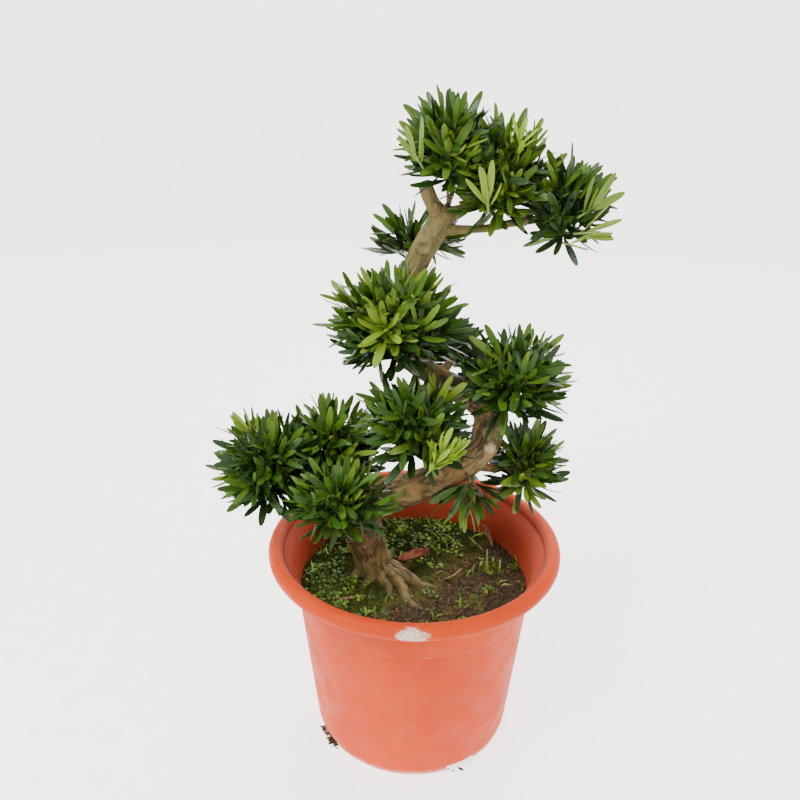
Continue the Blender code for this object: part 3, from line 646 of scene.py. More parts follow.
def grain_coordinates(points, lines):
    """Each point's place across and along the nearest limb, in units of fibre, and its way out."""
    best = np.full(len(points), np.inf)
    result = np.zeros((len(points), 3))
    outward = np.zeros((len(points), 3))
    for number, line in enumerate(lines):
        path, radii = line[:, :3], line[:, 3]
        steady = frames(path)
        run = np.concatenate([[0], np.cumsum(np.linalg.norm(np.diff(path, axis=0), axis=1))])
        for i in range(len(path)):
            away = points - path[i]
            skin = np.linalg.norm(away, axis=1) - radii[i]
            mine = skin < best
            if not mine.any():
                continue
            best[mine] = skin[mine]
            tangent, side, across = steady[i]
            flat = np.stack([away[mine] @ side, away[mine] @ across], axis=1)
            along = run[i] + away[mine] @ tangent + 0.37 * number
            result[mine] = np.column_stack([flat / FIBRE_WIDTH, along / FIBRE_LENGTH])
            outward[mine] = away[mine] - np.outer(away[mine] @ tangent, tangent)
    return result, outward / np.maximum(np.linalg.norm(outward, axis=1), 1e-9)[:, None]


def bark_relief(points, grain):
    """How far each point of the bark stands out, from its fibres, lumps and knots."""
    lift = np.array([noise.fractal(Vector(g * 0.55), 0.9, 2.1, 4) for g in grain]) * GRAIN_RELIEF
    lift += np.array([noise.noise(Vector(p * 90)) for p in points]) * FINE_RELIEF
    lift += np.array([noise.noise(Vector(p * 30)) for p in points]) * BROAD_RELIEF
    for place, size, height in KNOTS_ON_BARK:
        away = np.linalg.norm(points - np.array(place), axis=1) / size
        lift += height * (np.exp(-((away - 0.75) ** 2) * 9) - 0.7 * np.exp(-(away**2) * 9))
    return lift


def make_bark(lines, material):
    """The trunk, boughs and roots as one skin with the relief of the bark."""
    batch = Batch("bark_skin")
    for line in lines:
        batch.add(*tube(line[:, :3], line[:, 3] * 0.985, LIMB_SIDES))
    obj = batch.build(material)
    fuse(obj, BARK_VOXEL)
    mesh = obj.data
    points = np.empty(len(mesh.vertices) * 3)
    mesh.vertices.foreach_get("co", points)
    points = points.reshape(-1, 3)
    grain, outward = grain_coordinates(points, lines)
    points = points + outward * bark_relief(points, grain)[:, None]
    low = points[:, 2] < GROUND + 0.0002
    points[low, 2] = GROUND + 0.0002
    mesh.vertices.foreach_set("co", points.ravel())
    mesh.attributes.new("grain", "FLOAT_VECTOR", "POINT").data.foreach_set("vector", grain.ravel())
    mesh.shade_smooth()
    return obj


def make_cut_face(line, material):
    """The pale end grain of the sawn stub."""
    tangent, side, across = frames(line[:, :3])[-1]
    radius = line[-1, 3] * 0.93
    turns = math.tau * np.arange(CUT_SIDES) / CUT_SIDES
    points = [line[-1, :3] + tangent * 0.0007]
    for share, height in ((0.45, 0.0008), (0.85, 0.0005), (1.0, -0.0012)):
        wobble = 1 + 0.05 * np.sin(3 * turns) + 0.03 * np.sin(5 * turns + 1)
        ring = np.outer(np.cos(turns) * wobble, side) + np.outer(np.sin(turns) * wobble, across)
        points.extend(line[-1, :3] + tangent * height + ring * radius * share)
    faces = [(0, 1 + k, 1 + (k + 1) % CUT_SIDES) for k in range(CUT_SIDES)]
    return object_from("cut_face", points, faces + ring_faces(3, CUT_SIDES, 1, True), material)


# Foliage


class Space:
    """Where leaves may go: each mass's own room, clear of limbs, pot and neighbours."""

    def __init__(self, lines):
        self.names = list(MASSES)
        self.centres = np.array([MASSES[n][2] for n in self.names])
        self.halves = np.array([MASSES[n][3] for n in self.names])
        self.starts = np.concatenate([line[:-1, :3] for line in lines])
        self.runs = np.concatenate([np.diff(line[:, :3], axis=0) for line in lines])
        self.radii = np.concatenate([line[:-1, 3] for line in lines])

    def depth(self, points):
        """How far out each point lies in each mass's space: 0 at its centre, 1 at its edge."""
        return np.linalg.norm((points[:, None] - self.centres) / self.halves, axis=2)

    def clearance(self, points):
        away = points[:, None] - self.starts
        t = np.clip((away * self.runs).sum(2) / (self.runs**2).sum(1), 0, 1)
        return (np.linalg.norm(away - t[..., None] * self.runs, axis=2) - self.radii).min(1)

    def holds(self, own, points, edge=1.0):
        if points[:, 2].min() < POT_HEIGHT + 0.003:
            return False
        depth = self.depth(points)
        mine = depth[:, own]
        if mine.max() > edge:
            return False
        others = np.delete(depth, own, axis=1).min(1)
        if (others < mine - NEIGHBOUR_OVERLAP).any():
            return False
        return self.clearance(points).min() > LIMB_CLEARANCE


def leaning(out, lean_deg, up):
    """A direction that leans from straight up, or down where up is -1, towards out."""
    lean = math.radians(lean_deg)
    return unit(unit(out) * math.sin(lean) + (0, 0, up * math.cos(lean)))


def shoot_tips(centre, half, up, count, rng):
    """Tip and direction of each main shoot: upright at the top of a dome, leaning out below."""
    room = np.maximum(LEAST_TIP_SHARE * half, half - TIP_INSET_SHARE * CAD_LEAF_LENGTH)
    tips = []
    for i in range(count):
        share = (i + 0.5) / count
        angle = math.radians(GOLDEN_DEG * i) + rng.uniform(-0.3, 0.3)
        out = np.array([math.cos(angle), math.sin(angle), 0]) * math.sqrt(share)
        rise = (1 - share) * (half[2] - TIP_INSET_SHARE * CAD_LEAF_LENGTH) - share * DROOP * half[2]
        tip = centre + (out * room + (0, 0, up * rise)) * (1 + rng.uniform(-JITTER, JITTER))
        tips.append((tip, leaning(out, LEAN_TOP_DEG + (LEAN_LOW_DEG - LEAN_TOP_DEG) * share, up)))
    return tips[::-1]


def filling_tips(space, own, centre, half, up, taken, rng):
    """Tips and directions of side shoots that fill the room between the main ones."""
    places = []
    for _ in range(FILL_TRIES):
        away = np.array([rng.uniform(-1, 1) for _ in range(3)])
        reach = np.linalg.norm(away)
        if reach > 1 or away[2] * up < -0.75:
            continue
        tip = centre + away * (half - FILL_INSET_SHARE * LEAF_LENGTH) * rng.uniform(0.88, 1.08)
        if min(np.linalg.norm(tip - other) for other in taken) < FILL_SPACING:
            continue
        if not space.holds(own, tip[None], FILL_DEPTH):
            continue
        taken.append(tip)
        share = min(1.0, 0.85 * math.hypot(away[0], away[1]) + 0.5 * max(0.0, -up * away[2]))
        lean = LEAN_TOP_DEG + (LEAN_LOW_DEG - LEAN_TOP_DEG) * share + rng.uniform(-9, 9)
        out = np.array([away[0], away[1], 0]) + (0.01, 0.0, 0.0)
        places.append((tip, leaning(out, lean, up)))
    return places


def cross_directions(axis):
    side = unit(np.cross(axis, (0.3, 0.2, 1.0)))
    return side, np.cross(axis, side)


def leaf_blade(root, direction, upper, length, bend):
    """A blade with a sunk midrib, bent along its length, widest past the middle."""
    width = np.cross(direction, upper) * LEAF_HALF_WIDTH * length / LEAF_LENGTH
    points = []
    for share, breadth in LEAF_STATIONS:
        angle = bend * share
        bent = direction * (math.sin(angle) / bend) + upper * ((1 - math.cos(angle)) / bend)
        normal = upper * math.cos(angle) - direction * math.sin(angle)
        for across, height in LEAF_COLUMNS:
            points.append(root + length * bent + breadth * (width * across + normal * height))
    return points


LEAF_FACES = grid_faces(len(LEAF_STATIONS), len(LEAF_COLUMNS))


def leaf_line(root, direction, upper, length, bend):
    """Points along a leaf for testing where it goes."""
    turns = bend * np.array([0.2, 0.45, 0.7, 1.0])
    forward = np.outer(np.sin(turns) / bend * length, direction)
    return root + forward + np.outer((1 - np.cos(turns)) / bend * length, upper)


def curved_twig(start, elbow, end, start_radius, end_radius):
    middle = (*elbow, 0.5 * (start_radius + end_radius))
    line = spline([(*start, start_radius), middle, (*end, end_radius)], 0.006)
    return tube(line[:, :3], line[:, 3], 7)


class Foliage:
    """Leaves, twigs, green shoots and buds of all masses, gathered by kind as they grow."""

    def __init__(self, trunk, boughs, lines):
        self.trunk = trunk
        self.boughs = boughs
        self.space = Space(lines)
        self.leaves = {name: Batch(name) for name in LEAF_GROUPS}
        self.twigs, self.shoots, self.buds = Batch("twigs"), Batch("green_shoots"), Batch("buds")

    def grow_shoot(self, own, tip, axis, group, size, rng, low_deg=LEAF_LOW_DEG):
        """Leaves in a spiral up one shoot, older and wider spread below, younger at its tip."""
        side, across = cross_directions(axis)
        turn = rng.uniform(0, math.tau)
        for k in range(LEAVES_PER_SHOOT):
            share = (k + 0.5) / LEAVES_PER_SHOOT
            spread = low_deg + (LEAF_HIGH_DEG - low_deg) * share**1.15 + rng.uniform(-8, 8)
            tilt = math.radians(spread)
            angle = turn + math.radians(GOLDEN_DEG) * k + rng.uniform(-0.15, 0.15)
            out = side * math.cos(angle) + across * math.sin(angle)
            direction = axis * math.cos(tilt) + out * math.sin(tilt)
            twist = np.cross(direction, axis) * rng.uniform(-0.3, 0.3)
            upper = unit(axis - direction * axis.dot(direction) + twist)
            root = tip - axis * (SHOOT_LEAFY_LENGTH * (1 - share)) + out * SHOOT_RADIUS * 0.6
            length = LEAF_LENGTH * size * rng.uniform(0.80, 1.14)
            length *= 1 - 1.3 * max(0.0, share - LEAF_TIP_STARTS)
            bend = rng.uniform(-0.30, 0.42) + 0.001
            young = k >= LEAVES_PER_SHOOT - YOUNG_LEAVES and group < len(LEAF_GROUPS) - 2
            batch = self.leaves[LEAF_GROUPS[group + young]]
            self.lay_leaf(batch, own, (root, direction, upper), length, bend)

    def lay_leaf(self, batch, own, place, length, bend):
        """One leaf, at the longest fit that its space holds, or none."""
        for fit in LEAF_FIT_SHARES:
            if self.space.holds(own, leaf_line(*place, length * fit, bend), LEAF_EDGE):
                batch.add(leaf_blade(*place, length * fit, bend), LEAF_FACES)
                return

    def add_bud(self, tip, axis, rng):
        """A small pointed bud at a shoot's tip."""
        length = rng.uniform(0.0035, 0.0060)
        path = np.array([tip - axis * 0.001 + axis * length * s for s in (0, 0.35, 0.75, 1.0)])
        self.buds.add(*tube(path, np.array([0.4, 1.0, 0.7, 0.08]) * length * 0.30, 8))

    def stem_line(self, carrier, hub, top):
        """Samples of a mass's stem, from its bough's tip or the trunk through the hub to the top."""
        if isinstance(carrier, str):
            line = self.trunk if carrier == "trunk_leader" else self.boughs[f"bough_{carrier}"]
            way = unit(line[-1, :3] - line[-3, :3])
            start = line[-1, :3] - way * 0.004
        else:
            start = at_height(self.trunk[:, :3], carrier)
            way = unit(hub - start)
        knots = [start, start + way * 0.012, hub, top]
        radii = [STEM_RADIUS * 1.15, STEM_RADIUS, STEM_RADIUS * 0.9, SHOOT_RADIUS]
        return spline([(*knot, radius) for knot, radius in zip(knots, radii)], 0.005)

    def grow_twigs(self, stem, tips):
        """A twig from the stem to each main shoot but the last. Gives points along all the wood."""
        wood = [stem[:, :3]]
        for k, (tip, axis) in enumerate(tips[:-1]):
            share = SPINE_FIRST_SHARE + (1 - SPINE_FIRST_SHARE) * k / len(tips)
            foot = stem[int(share * (len(stem) - 1)), :3]
            elbow = tip - axis * SHOOT_LEAFY_LENGTH
            self.twigs.add(*curved_twig(foot, elbow, tip, TWIG_RADIUS, SHOOT_RADIUS))
            wood.append(foot + np.outer(np.linspace(0.15, 1.0, 8), elbow - foot))
        return np.concatenate(wood)

    def grow_mass(self, own, rng):
        """One mass: its stem, the main twigs, side shoots on each, and the leaves round every shoot."""
        name = self.space.names[own]
        carrier, hub, centre, half, count = MASSES[name]
        hub, centre, half = np.array(hub), np.array(centre), np.array(half)
        up = math.copysign(1, centre[2] - hub[2])
        tips = shoot_tips(centre, half, up, count, rng)
        top = tips[-1][0]
        stem = self.stem_line(carrier, hub, top)
        self.twigs.add(*tube(stem[:, :3], stem[:, 3], 9))
        wood = self.grow_twigs(stem, tips)
        places = [(top, unit(top - hub), 1.0)] + [(tip, axis, 1.0) for tip, axis in tips[:-1]]
        taken = [place[0] for place in places]
        for tip, axis in filling_tips(self.space, own, centre, half, up, taken, rng):
            elbow = tip - axis * SHOOT_LEAFY_LENGTH * 0.8
            joint = wood[np.linalg.norm(wood - elbow, axis=1).argmin()]
            self.shoots.add(*curved_twig(joint, elbow, tip, SHOOT_RADIUS, SHOOT_RADIUS * 0.8))
            places.append((tip, axis, rng.uniform(0.86, 1.0)))
        for tip, axis, size in places:
            group = rng.choices(range(len(LEAF_GROUPS)), SHARES.get(name, USUAL_SHARES))[0]
            # Shoots high in their mass go a group lighter and low ones a group darker: painted light and
            # shade
            height = (tip[2] - centre[2]) / half[2]
            group = min(len(LEAF_GROUPS) - 2, max(0, group + (height > 0.35) - (height < -0.15)))
            self.grow_shoot(own, tip, axis, group, size, rng)
            if rng.random() < 0.25:
                self.add_bud(tip, axis, rng)

    def grow_new_shoots(self, rng):
        for root, direction, group, size in NEW_SHOOTS:
            root = np.array(root)
            axis = unit(np.array(direction))
            tip = root + axis * 0.012
            own = int(self.space.depth(tip[None])[0].argmin())
            self.shoots.add(*curved_twig(root - axis * 0.012, root, tip, SHOOT_RADIUS, SHOOT_RADIUS * 0.8))
            self.grow_shoot(own, tip, axis, LEAF_GROUPS.index(group), size, rng, NEW_LOW_DEG)

    def build(self):
        for number, (name, batch) in enumerate(self.leaves.items()):
            yield batch.build(leaf_finish(name, LEAF_COLOURS[name], 0.36 + 0.02 * number))
        yield self.twigs.build(plain_finish("twig_bark", (0.10, 0.075, 0.035), (0.24, 0.19, 0.09), 320))
        yield self.shoots.build(plain_finish("green_stem", (0.10, 0.16, 0.03), (0.20, 0.26, 0.07), 300, 0.5))
        yield self.buds.build(plain_finish("bud_scale", (0.20, 0.085, 0.02), (0.34, 0.17, 0.04), 500, 0.5))


def make_foliage(trunk, boughs, lines):
    foliage = Foliage(trunk, boughs, lines)
    for own in range(len(MASSES)):
        foliage.grow_mass(own, random.Random(100 + own))
    foliage.grow_new_shoots(random.Random(7))
    for piece in foliage.build():
        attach(piece, "root")
        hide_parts(*(f"foliage_{name}" for name in MASSES))


# Pot and ground


def rim_arc(start_deg, end_deg, count):
    """Points round the rolled rim's section, from its underside out, over and in."""
    angles = np.radians(np.linspace(start_deg, end_deg, count))
    centre_r, centre_z = RIM_RADIUS - RIM_ROLL, POT_HEIGHT - RIM_ROLL
    return [(centre_r + RIM_ROLL * math.cos(a), centre_z + RIM_ROLL * math.sin(a)) for a in angles]


def pot_profile():
    band = WALL_HIGH[0] + BAND_STEP
    throat = WALL_HIGH[1]
    outside = [
        (0, 0),
        (BASE_RADIUS - 0.001, 0),
        (BASE_RADIUS, 0.0002),
        (0.5 * (BASE_RADIUS + WALL_LOW[0]) + 0.001, 0.4 * WALL_LOW[1]),
        WALL_LOW,
        (WALL_HIGH[0] - 0.0001, throat - 0.001),
        WALL_HIGH,
        (band - 0.0003, throat + 0.0006),
        (band, throat + 0.0014),
        (band + 0.0015, throat + 0.0234),
        (band + 0.0045, throat + 0.0324),
        (band + 0.0110, throat + 0.0394),
    ]
    inside = [
        (WALL_HIGH[0] + 0.0077, throat + 0.0419),
        (WALL_HIGH[0] + 0.0022, throat + 0.0324),
        (WALL_HIGH[0] - 0.0003, throat + 0.0184),
        (WALL_HIGH[0] - WALL, throat),
        (WALL_LOW[0] - WALL, WALL_LOW[1]),
        (WALL_LOW[0] - 2 * WALL, POT_FLOOR),
        (0, POT_FLOOR),
    ]
    return outside + rim_arc(-100, 190, 24) + inside


def turned(name, profile, sides, material):
    """A solid turned round +Z from a profile that starts and ends on the axis, bottom first."""
    turns = math.tau * np.arange(sides) / sides
    points = [(0, 0, profile[0][1]), (0, 0, profile[-1][1])]
    inner = profile[1:-1]
    for radius, z in inner:
        points.extend(zip(radius * np.cos(turns), radius * np.sin(turns), [z] * sides))
    faces = ring_faces(len(inner), sides, 2)
    last = 2 + (len(inner) - 1) * sides
    for k in range(sides):
        n = (k + 1) % sides
        faces.append((0, 2 + n, 2 + k))
        faces.append((1, last + k, last + n))
    return object_from(name, points, faces, material)


def notch_degrees(number):
    return NOTCH_FIRST_DEG + 360 / NOTCH_COUNT * number


def notch_cutter(material):
    """A box at each drain notch, from under the pot's floor up and out past its wall."""
    batch = Batch("notch_cutter")
    across, along, up = (
        (NOTCH_INNER, RIM_RADIUS),
        (-NOTCH_WIDTH / 2, NOTCH_WIDTH / 2),
        (-POT_FLOOR, NOTCH_HEIGHT),
    )
    sides = [(0, 2, 3, 1), (4, 5, 7, 6), (0, 1, 5, 4), (2, 6, 7, 3), (0, 4, 6, 2), (1, 3, 7, 5)]
    for number in range(NOTCH_COUNT):
        turn = Matrix.Rotation(math.radians(notch_degrees(number)), 3, "Z")
        batch.add([turn @ Vector((x, y, z)) for z in up for y in along for x in across], sides)
    return batch.build(material, smooth=False)


def make_pot():
    """The pot, turned finer than the solid, with its drain notches cut."""
    outside = pot_finish("pot_plastic", (0.58, 0.054, 0.005), (0.50, 0.044, 0.005), (0.62, 0.110, 0.028))
    inside = pot_finish("pot_inside", (0.42, 0.060, 0.028), (0.35, 0.048, 0.022), (0.48, 0.120, 0.070))
    pot = turned("pot_shell", pot_profile(), POT_SIDES, outside)
    cutter = notch_cutter(outside)
    cut = pot.modifiers.new("notches", "BOOLEAN")
    cut.operation = "DIFFERENCE"
    cut.object = cutter
    apply(pot, cut)
    bpy.data.objects.remove(cutter)
    pot.data.materials.append(inside)
    for face in pot.data.polygons:
        inward = face.normal.x * face.center.x + face.normal.y * face.center.y
        face.material_index = int(face.center.z > POT_FLOOR and inward < -0.35 * face.center.xy.length)
    pot.data.set_sharp_from_angle(angle=math.radians(45))
    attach(pot, "root")
    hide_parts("pot")


def waves(x, y, scale, seed):
    return noise.noise(Vector((x * scale, y * scale, seed)))


def ground_height(x, y):
    """The lie of the soil: humps of moss, and a dip at the wall."""
    reach = math.hypot(x, y) / GROUND_RADIUS
    humps = waves(x, y, 26, 3.1) * 0.0042 + waves(x, y, 75, 8.0) * 0.0022
    fine = waves(x, y, 240, 1.0) * 0.00064
    dip = 0.0018 * max(0.0, reach - 0.85) / 0.15
    return GROUND + GROUND_RISE + max(0.0, humps + 0.0012) + fine + 0.0008 - dip


def moss_share(x, y):
    """How mossy the ground is: green on the left and at the back, worn on the right and in front."""
    lean = smooth_step(-x * 0.8 + y * 0.7, -0.055, 0.045)
    return float(lean) + 0.55 * waves(x, y, 34, 5.0) + 0.35 * waves(x, y, 120, 2.0)


def make_ground():
    rings, sectors = 64, 200
    points = [(0, 0, ground_height(0, 0))]
    for r in range(1, rings + 1):
        radius = GROUND_RADIUS * r / rings
        for k in range(sectors):
            angle = math.tau * k / sectors
            x, y = radius * math.cos(angle), radius * math.sin(angle)
            points.append((x, y, ground_height(x, y)))
    for x, y, _ in points[-sectors:]:
        points.append((x, y, GROUND - 0.0015))
    faces = [(0, 1 + k, 1 + (k + 1) % sectors) for k in range(sectors)]
    faces += ring_faces(rings + 1, sectors, 1, True)
    earth = soil_finish("earth", (0.016, 0.011, 0.005), (0.070, 0.046, 0.018))
    ground = object_from("ground_cover", points, faces, earth)
    moss = soil_finish("moss_bed", (0.012, 0.015, 0.004), (0.062, 0.070, 0.010), 420)
    yellow_moss = soil_finish("yellow_moss", (0.034, 0.030, 0.007), (0.130, 0.110, 0.022), 380)
    ground.data.materials.append(moss)
    ground.data.materials.append(yellow_moss)
    for face in ground.data.polygons:
        share = moss_share(*face.center.xy)
        face.material_index = 1 if share > 0.50 else 2 if share > 0.16 else 0
    return ground


def on_ground(x, y, lift=0.0):
    return np.array([x, y, ground_height(x, y) + lift])


def on_disc(rng, least=0.05, most=0.92):
    """A random place on the ground, between two shares of its area counted from the middle."""
    radius = GROUND_RADIUS * math.sqrt(rng.uniform(least, most))
    angle = rng.uniform(0, math.tau)
    return radius * math.cos(angle), radius * math.sin(angle)


def clear_of_trunk(x, y):
    return math.hypot(x - TRUNK_KNOTS[0][0], y - TRUNK_KNOTS[0][1]) > 0.028


def make_tufts(rng):
    """Moss as short upright blades, denser and greener where the ground is mossy."""
    green, dull = Batch("moss_green"), Batch("moss_dull")
    while green.count + dull.count < 3 * MOSS_BLADES:
        x, y = on_disc(rng, 0.0, 0.985**2)
        share = moss_share(x, y)
        if rng.random() > 0.15 + share:
            continue
        height = rng.uniform(0.0016, 0.0040) * (0.7 + 0.6 * min(1.0, max(0.0, share)))
        turn = rng.uniform(0, math.tau)
        dx, dy = MOSS_HALF_WIDTH * math.cos(turn), MOSS_HALF_WIDTH * math.sin(turn)
        top = (x + rng.uniform(-0.5, 0.5) * height, y + rng.uniform(-0.5, 0.5) * height)
        z = ground_height(x, y) - 0.0004
        blade = [(x - dx, y - dy, z), (x + dx, y + dy, z), (*top, z + height)]
        (green if share > 0.42 else dull).add(blade, [(0, 1, 2)])
    moss = plain_finish("moss", (0.034, 0.052, 0.005), (0.130, 0.165, 0.014), 160, 0.8)
    old_moss = plain_finish("old_moss", (0.055, 0.048, 0.008), (0.140, 0.125, 0.022), 160, 0.9)
    return [green.build(moss, smooth=False), dull.build(old_moss, smooth=False)]


def lay_leaf(batch, x, y, degrees, length, bend, rise=0.03, roll=0.0):
    """One dry leaf on the ground."""
    direction = unit(around(degrees, rise))
    upper = unit(around(degrees + 90) * roll + (0, 0, 1.0))
    upper = unit(upper - direction * upper.dot(direction))
    batch.add(leaf_blade(on_ground(x, y, 0.0024), direction, upper, length, bend), LEAF_FACES)


def crumb(middle, rng, size=1.0):
    """A short thick scrap of bark or soil."""
    turn = rng.uniform(0, math.tau)
    way = np.array([math.cos(turn), math.sin(turn), rng.uniform(-0.3, 0.5)]) * rng.uniform(0.0012, 0.0042)
    thick = rng.uniform(0.0004, 0.0011) * size
    return tube(np.array([middle - way, middle, middle + way]), np.array([0.6, 1.0, 0.5]) * thick, 5)


def scatter_crumbs(mulch, rusty, rng):
    """Crumbs of bark where the ground is bare, and of soil at each drain notch."""
    for _ in range(MULCH_CRUMBS):
        x, y = on_disc(rng, 0.02, 0.96)
        if moss_share(x, y) > rng.uniform(0.10, 0.55) or not clear_of_trunk(x, y):
            continue
        (rusty if rng.random() < 0.22 else mulch).add(*crumb(on_ground(x, y, 0.0006), rng))
    for number, count in enumerate(WASHED_OUT):
        for _ in range(count):
            turn = notch_degrees(number) + rng.uniform(-9.5, 9.5)
            reach = rng.uniform(NOTCH_INNER + 0.004, BASE_RADIUS + 0.0075)
            height = rng.uniform(0.0012, 0.0080) * (1 if reach < BASE_RADIUS else 0.4)
            points, faces = crumb(around(turn) * reach + (0, 0, height), rng, 1.5)
            points[:, 2] = np.maximum(points[:, 2], 0.0001)
            (rusty if rng.random() < 0.25 else mulch).add(points, faces)


def broad_leaf(batch):
    """A broad dry leaf with its sides curled up."""
    rows, columns = 9, 7
    points = []
    for along in np.linspace(0, 1, rows):
        for across in np.linspace(-1, 1, columns):
            wide = 0.0105 * math.sin(math.pi * (0.06 + 0.90 * along)) ** 0.7
            lift = 0.0030 + 0.007 * across * across + 0.005 * along
            points.append(on_ground(-0.018 + 0.036 * along, 0.022 + 0.010 * along + across * wide, lift))
    batch.add(points, grid_faces(rows, columns))


def make_litter(rng):
    """Dry leaves that have dropped from the tree, a broad curled one, and crumbs of bark mulch."""
    names = ("dry_leaves", "broad_dry_leaf", "mulch", "mulch_rusty")
    litter, curled, mulch, rusty = (Batch(name) for name in names)
    for leaf in FALLEN_LEAVES:
        lay_leaf(litter, *leaf)
    for _ in range(5):
        x, y = on_disc(rng)
        if x > -0.01 and clear_of_trunk(x, y) and math.hypot(x, y) < 0.085:
            degrees, length = rng.uniform(0, 360), rng.uniform(0.020, 0.032)
            lay_leaf(litter, x, y, degrees, length, rng.uniform(-0.6, 0.6) + 0.001)
    scatter_crumbs(mulch, rusty, rng)
    broad_leaf(curled)
    return [
        litter.build(plain_finish("dry_leaf", (0.11, 0.055, 0.024), (0.26, 0.145, 0.065), 220)),
        curled.build(plain_finish("russet_leaf", (0.22, 0.060, 0.030), (0.38, 0.13, 0.060), 200)),
        mulch.build(plain_finish("mulch_brown", (0.026, 0.014, 0.007), (0.090, 0.050, 0.022), 260, 0.9)),
        rusty.build(plain_finish("mulch_rust", (0.11, 0.036, 0.010), (0.26, 0.105, 0.026), 260, 0.9)),
    ]


def sprout(batch, x, y, height, leaflets, size, rng):
    """A seedling: thin stalks from one foot, each with a round leaf of seven points."""
    foot = on_ground(x, y, -0.001)
    first = rng.uniform(0, math.tau)
    turns = math.tau * np.arange(7) / 7
    for k in range(leaflets):
        turn = math.radians(GOLDEN_DEG) * k + first
        out = unit(np.array([math.cos(turn), math.sin(turn), rng.uniform(0.4, 1.8)]))
        tip = foot + out * height * rng.uniform(0.55, 1.0)
        stalk = np.array([foot, 0.5 * (foot + tip) + (0, 0, 0.001), tip])
        batch.add(*tube(stalk, np.array([3, 2.5, 2]) * 1e-4, 4))
        normal = unit(np.array([rng.uniform(-0.6, 0.6), rng.uniform(-0.6, 0.6), 1.0]))
        side, across = cross_directions(normal)
        wide = size * rng.uniform(0.7, 1.2)
        middle = tip + side * wide * 0.8
        disc = np.outer(np.cos(turns), side) + np.outer(np.sin(turns) * 0.7, across)
        points = np.vstack([middle + wide * disc, middle - normal * 0.0004])
        batch.add(points, [(j, (j + 1) % 7, 7) for j in range(7)])


def grass_blade(batch, x, y, length, turn, droop):
    """One blade that rises and bends over."""
    foot = on_ground(x, y, -0.001)
    out = np.array([math.cos(turn), math.sin(turn), 0])
    knots = [
        foot,
        foot + (0, 0, length * 0.45) + out * length * 0.10,
        foot + (0, 0, length * (0.95 - 0.5 * droop)) + out * length * (0.25 + 0.5 * droop),
    ]
    line = spline(knots, length / 7)
    width = np.cross(out, (0, 0, 1.0))
    taper = GRASS_HALF_WIDTH * (1 - np.linspace(0, 1, len(line)) ** 2) + 0.00005
    points = np.concatenate([line - np.outer(taper, width), line + np.outer(taper, width)])
    n = len(line)
    batch.add(points, [(i, n + i, n + i + 1, i + 1) for i in range(n - 1)])


def make_weeds(rng):
    """Low leafy weeds on the left and at the back, a few on the right, and blades of grass."""
    dark, bright, grass = (Batch(name) for name in ("weeds_dark", "weeds_bright", "grass_blades"))
    for _ in range(WEED_TRIES):
        x, y = on_disc(rng, 0.02, 0.97)
        left = -0.055 - x
        back = y - 0.030
        thick = max(smooth_step(left, -0.030, 0.030), smooth_step(back, -0.020, 0.045) * (x < 0.055))
        if rng.random() > 0.13 + 0.87 * thick or not clear_of_trunk(x, y):
            continue
        height = rng.uniform(0.004, 0.008) + 0.007 * thick * rng.random()
        batch = bright if rng.random() < (0.55 if back > left else 0.30) else dark
        sprout(batch, x, y, height, rng.randint(4, 7), rng.uniform(0.0014, 0.0026), rng)
    for x, y, count, longest in GRASS_TUFTS:
        for _ in range(count):
            place = (x + rng.uniform(-0.007, 0.007), y + rng.uniform(-0.007, 0.007))
            length = longest * rng.uniform(0.55, 1.05)
            grass_blade(grass, *place, length, rng.uniform(0, math.tau), rng.uniform(0.1, 0.9))
    return [
        dark.build(plain_finish("weed_dark", (0.024, 0.052, 0.005), (0.075, 0.130, 0.012), 300, 0.6)),
        bright.build(plain_finish("weed_bright", (0.090, 0.175, 0.010), (0.200, 0.310, 0.022), 300, 0.5)),
        grass.build(plain_finish("grass", (0.100, 0.190, 0.018), (0.240, 0.340, 0.040), 120, 0.5)),
    ]


def dress_soil():
    rng = random.Random(31)
    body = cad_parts["soil"]
    body.data.materials.clear()
    body.data.materials.append(soil_finish("root_ball", (0.018, 0.012, 0.007), (0.075, 0.050, 0.026)))
    for piece in (make_ground(), *make_tufts(rng), *make_litter(rng), *make_weeds(rng)):
        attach(piece, "root")


# Stage


def make_floor():
    """A pale floor that sweeps up behind, with a glow that is dimmer in front of the pot."""
    profile = [(-3.0, 0.0), (SWEEP_START, 0.0)]
    for k in range(1, 25):
        angle = math.radians(90 * k / 24)
        across = SWEEP_START + SWEEP_RADIUS * math.sin(angle)
        profile.append((across, SWEEP_RADIUS * (1 - math.cos(angle))))
    profile.append((SWEEP_START + SWEEP_RADIUS, 3.0))
    points = [(x, y, z) for y, z in profile for x in (-5.0, 5.0)]
    paint = plain_finish("pale_floor", (0.78, 0.77, 0.75), (0.82, 0.81, 0.79), 30, 0.8, 0.0002)
    shader = paint.node_tree.nodes["Principled BSDF"]
    back = remap(coordinate(paint.node_tree, "Y"), *FRONT_ENDS, FRONT_GLOW_SHARE, 1.0)
    feed(shader.inputs["Emission Color"], mixed(back, (0.0, 0.0, 0.0), (1.0, 0.985, 0.96)))
    feed(shader.inputs["Emission Strength"], FLOOR_GLOW)
    object_from("floor", points, grid_faces(len(profile), 2), paint)


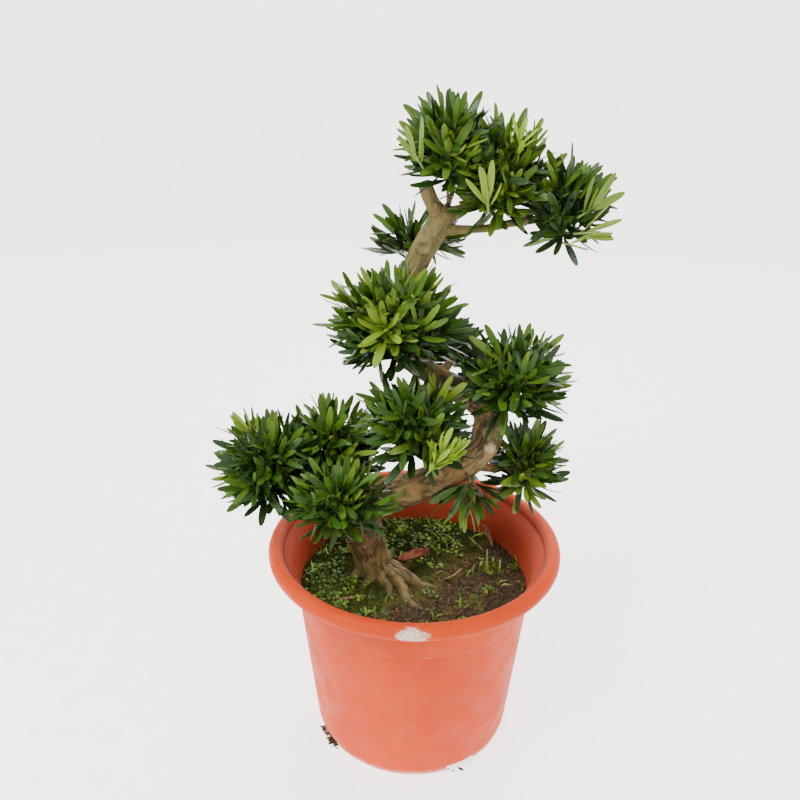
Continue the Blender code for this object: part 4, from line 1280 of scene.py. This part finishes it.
def make_light():
    """A bright even sky and three soft lamps."""
    world = bpy.data.worlds.new("studio")
    world.use_nodes = True
    sky = world.node_tree.nodes["Background"]
    feed(sky.inputs["Color"], (0.96, 0.98, 1.0))
    feed(sky.inputs["Strength"], SKY_STRENGTH)
    bpy.context.scene.world = world
    for name, place, power, size in LAMPS:
        data = bpy.data.lights.new(name, "AREA")
        data.energy = power
        data.size = size
        lamp = link(bpy.data.objects.new(name, data))
        lamp.location = place
        aim = Vector((0, 0, 0.35)) - lamp.location
        lamp.rotation_euler = aim.to_track_quat("-Z", "Y").to_euler()


def make_camera():
    data = bpy.data.cameras.new("view")
    data.sensor_fit = "HORIZONTAL"
    data.sensor_width = SENSOR_MM
    data.lens = SENSOR_MM
    camera = link(bpy.data.objects.new("view", data))
    forward = Vector((0, math.cos(CAMERA_PITCH), -math.sin(CAMERA_PITCH)))
    right = Vector((1, 0, 0))
    up = right.cross(forward)
    turned_right = math.cos(CAMERA_ROLL) * right + math.sin(CAMERA_ROLL) * up
    turned_up = turned_right.cross(forward)
    matrix = Matrix((turned_right, turned_up, -forward)).transposed().to_4x4()
    matrix.translation = CAMERA_AT
    camera.matrix_world = matrix
    bpy.context.scene.camera = camera


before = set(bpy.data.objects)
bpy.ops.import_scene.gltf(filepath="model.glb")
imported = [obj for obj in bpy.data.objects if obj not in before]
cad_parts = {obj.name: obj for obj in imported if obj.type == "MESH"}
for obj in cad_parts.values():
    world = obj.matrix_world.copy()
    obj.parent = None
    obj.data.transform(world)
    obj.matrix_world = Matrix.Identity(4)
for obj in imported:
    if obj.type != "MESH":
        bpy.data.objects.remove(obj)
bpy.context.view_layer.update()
make_camera()
make_floor()
make_light()
trunk = spline(TRUNK_KNOTS, LIMB_STEP)
boughs = {name: bough_line(trunk, *sizes) for name, sizes in BOUGHS.items()}
roots = [root_line(trunk, number, *sizes) for number, sizes in enumerate(ROOTS)]
wood_lines = [trunk, *boughs.values()]
bark = make_bark(wood_lines + roots, bark_finish())
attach(bark, "root")
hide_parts(*TRUNK_NODES, *BOUGHS)
cut = make_cut_face(boughs["cut_stub"], wood_finish())
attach(cut, "root")
make_foliage(trunk, boughs, wood_lines)
make_pot()
dress_soil()
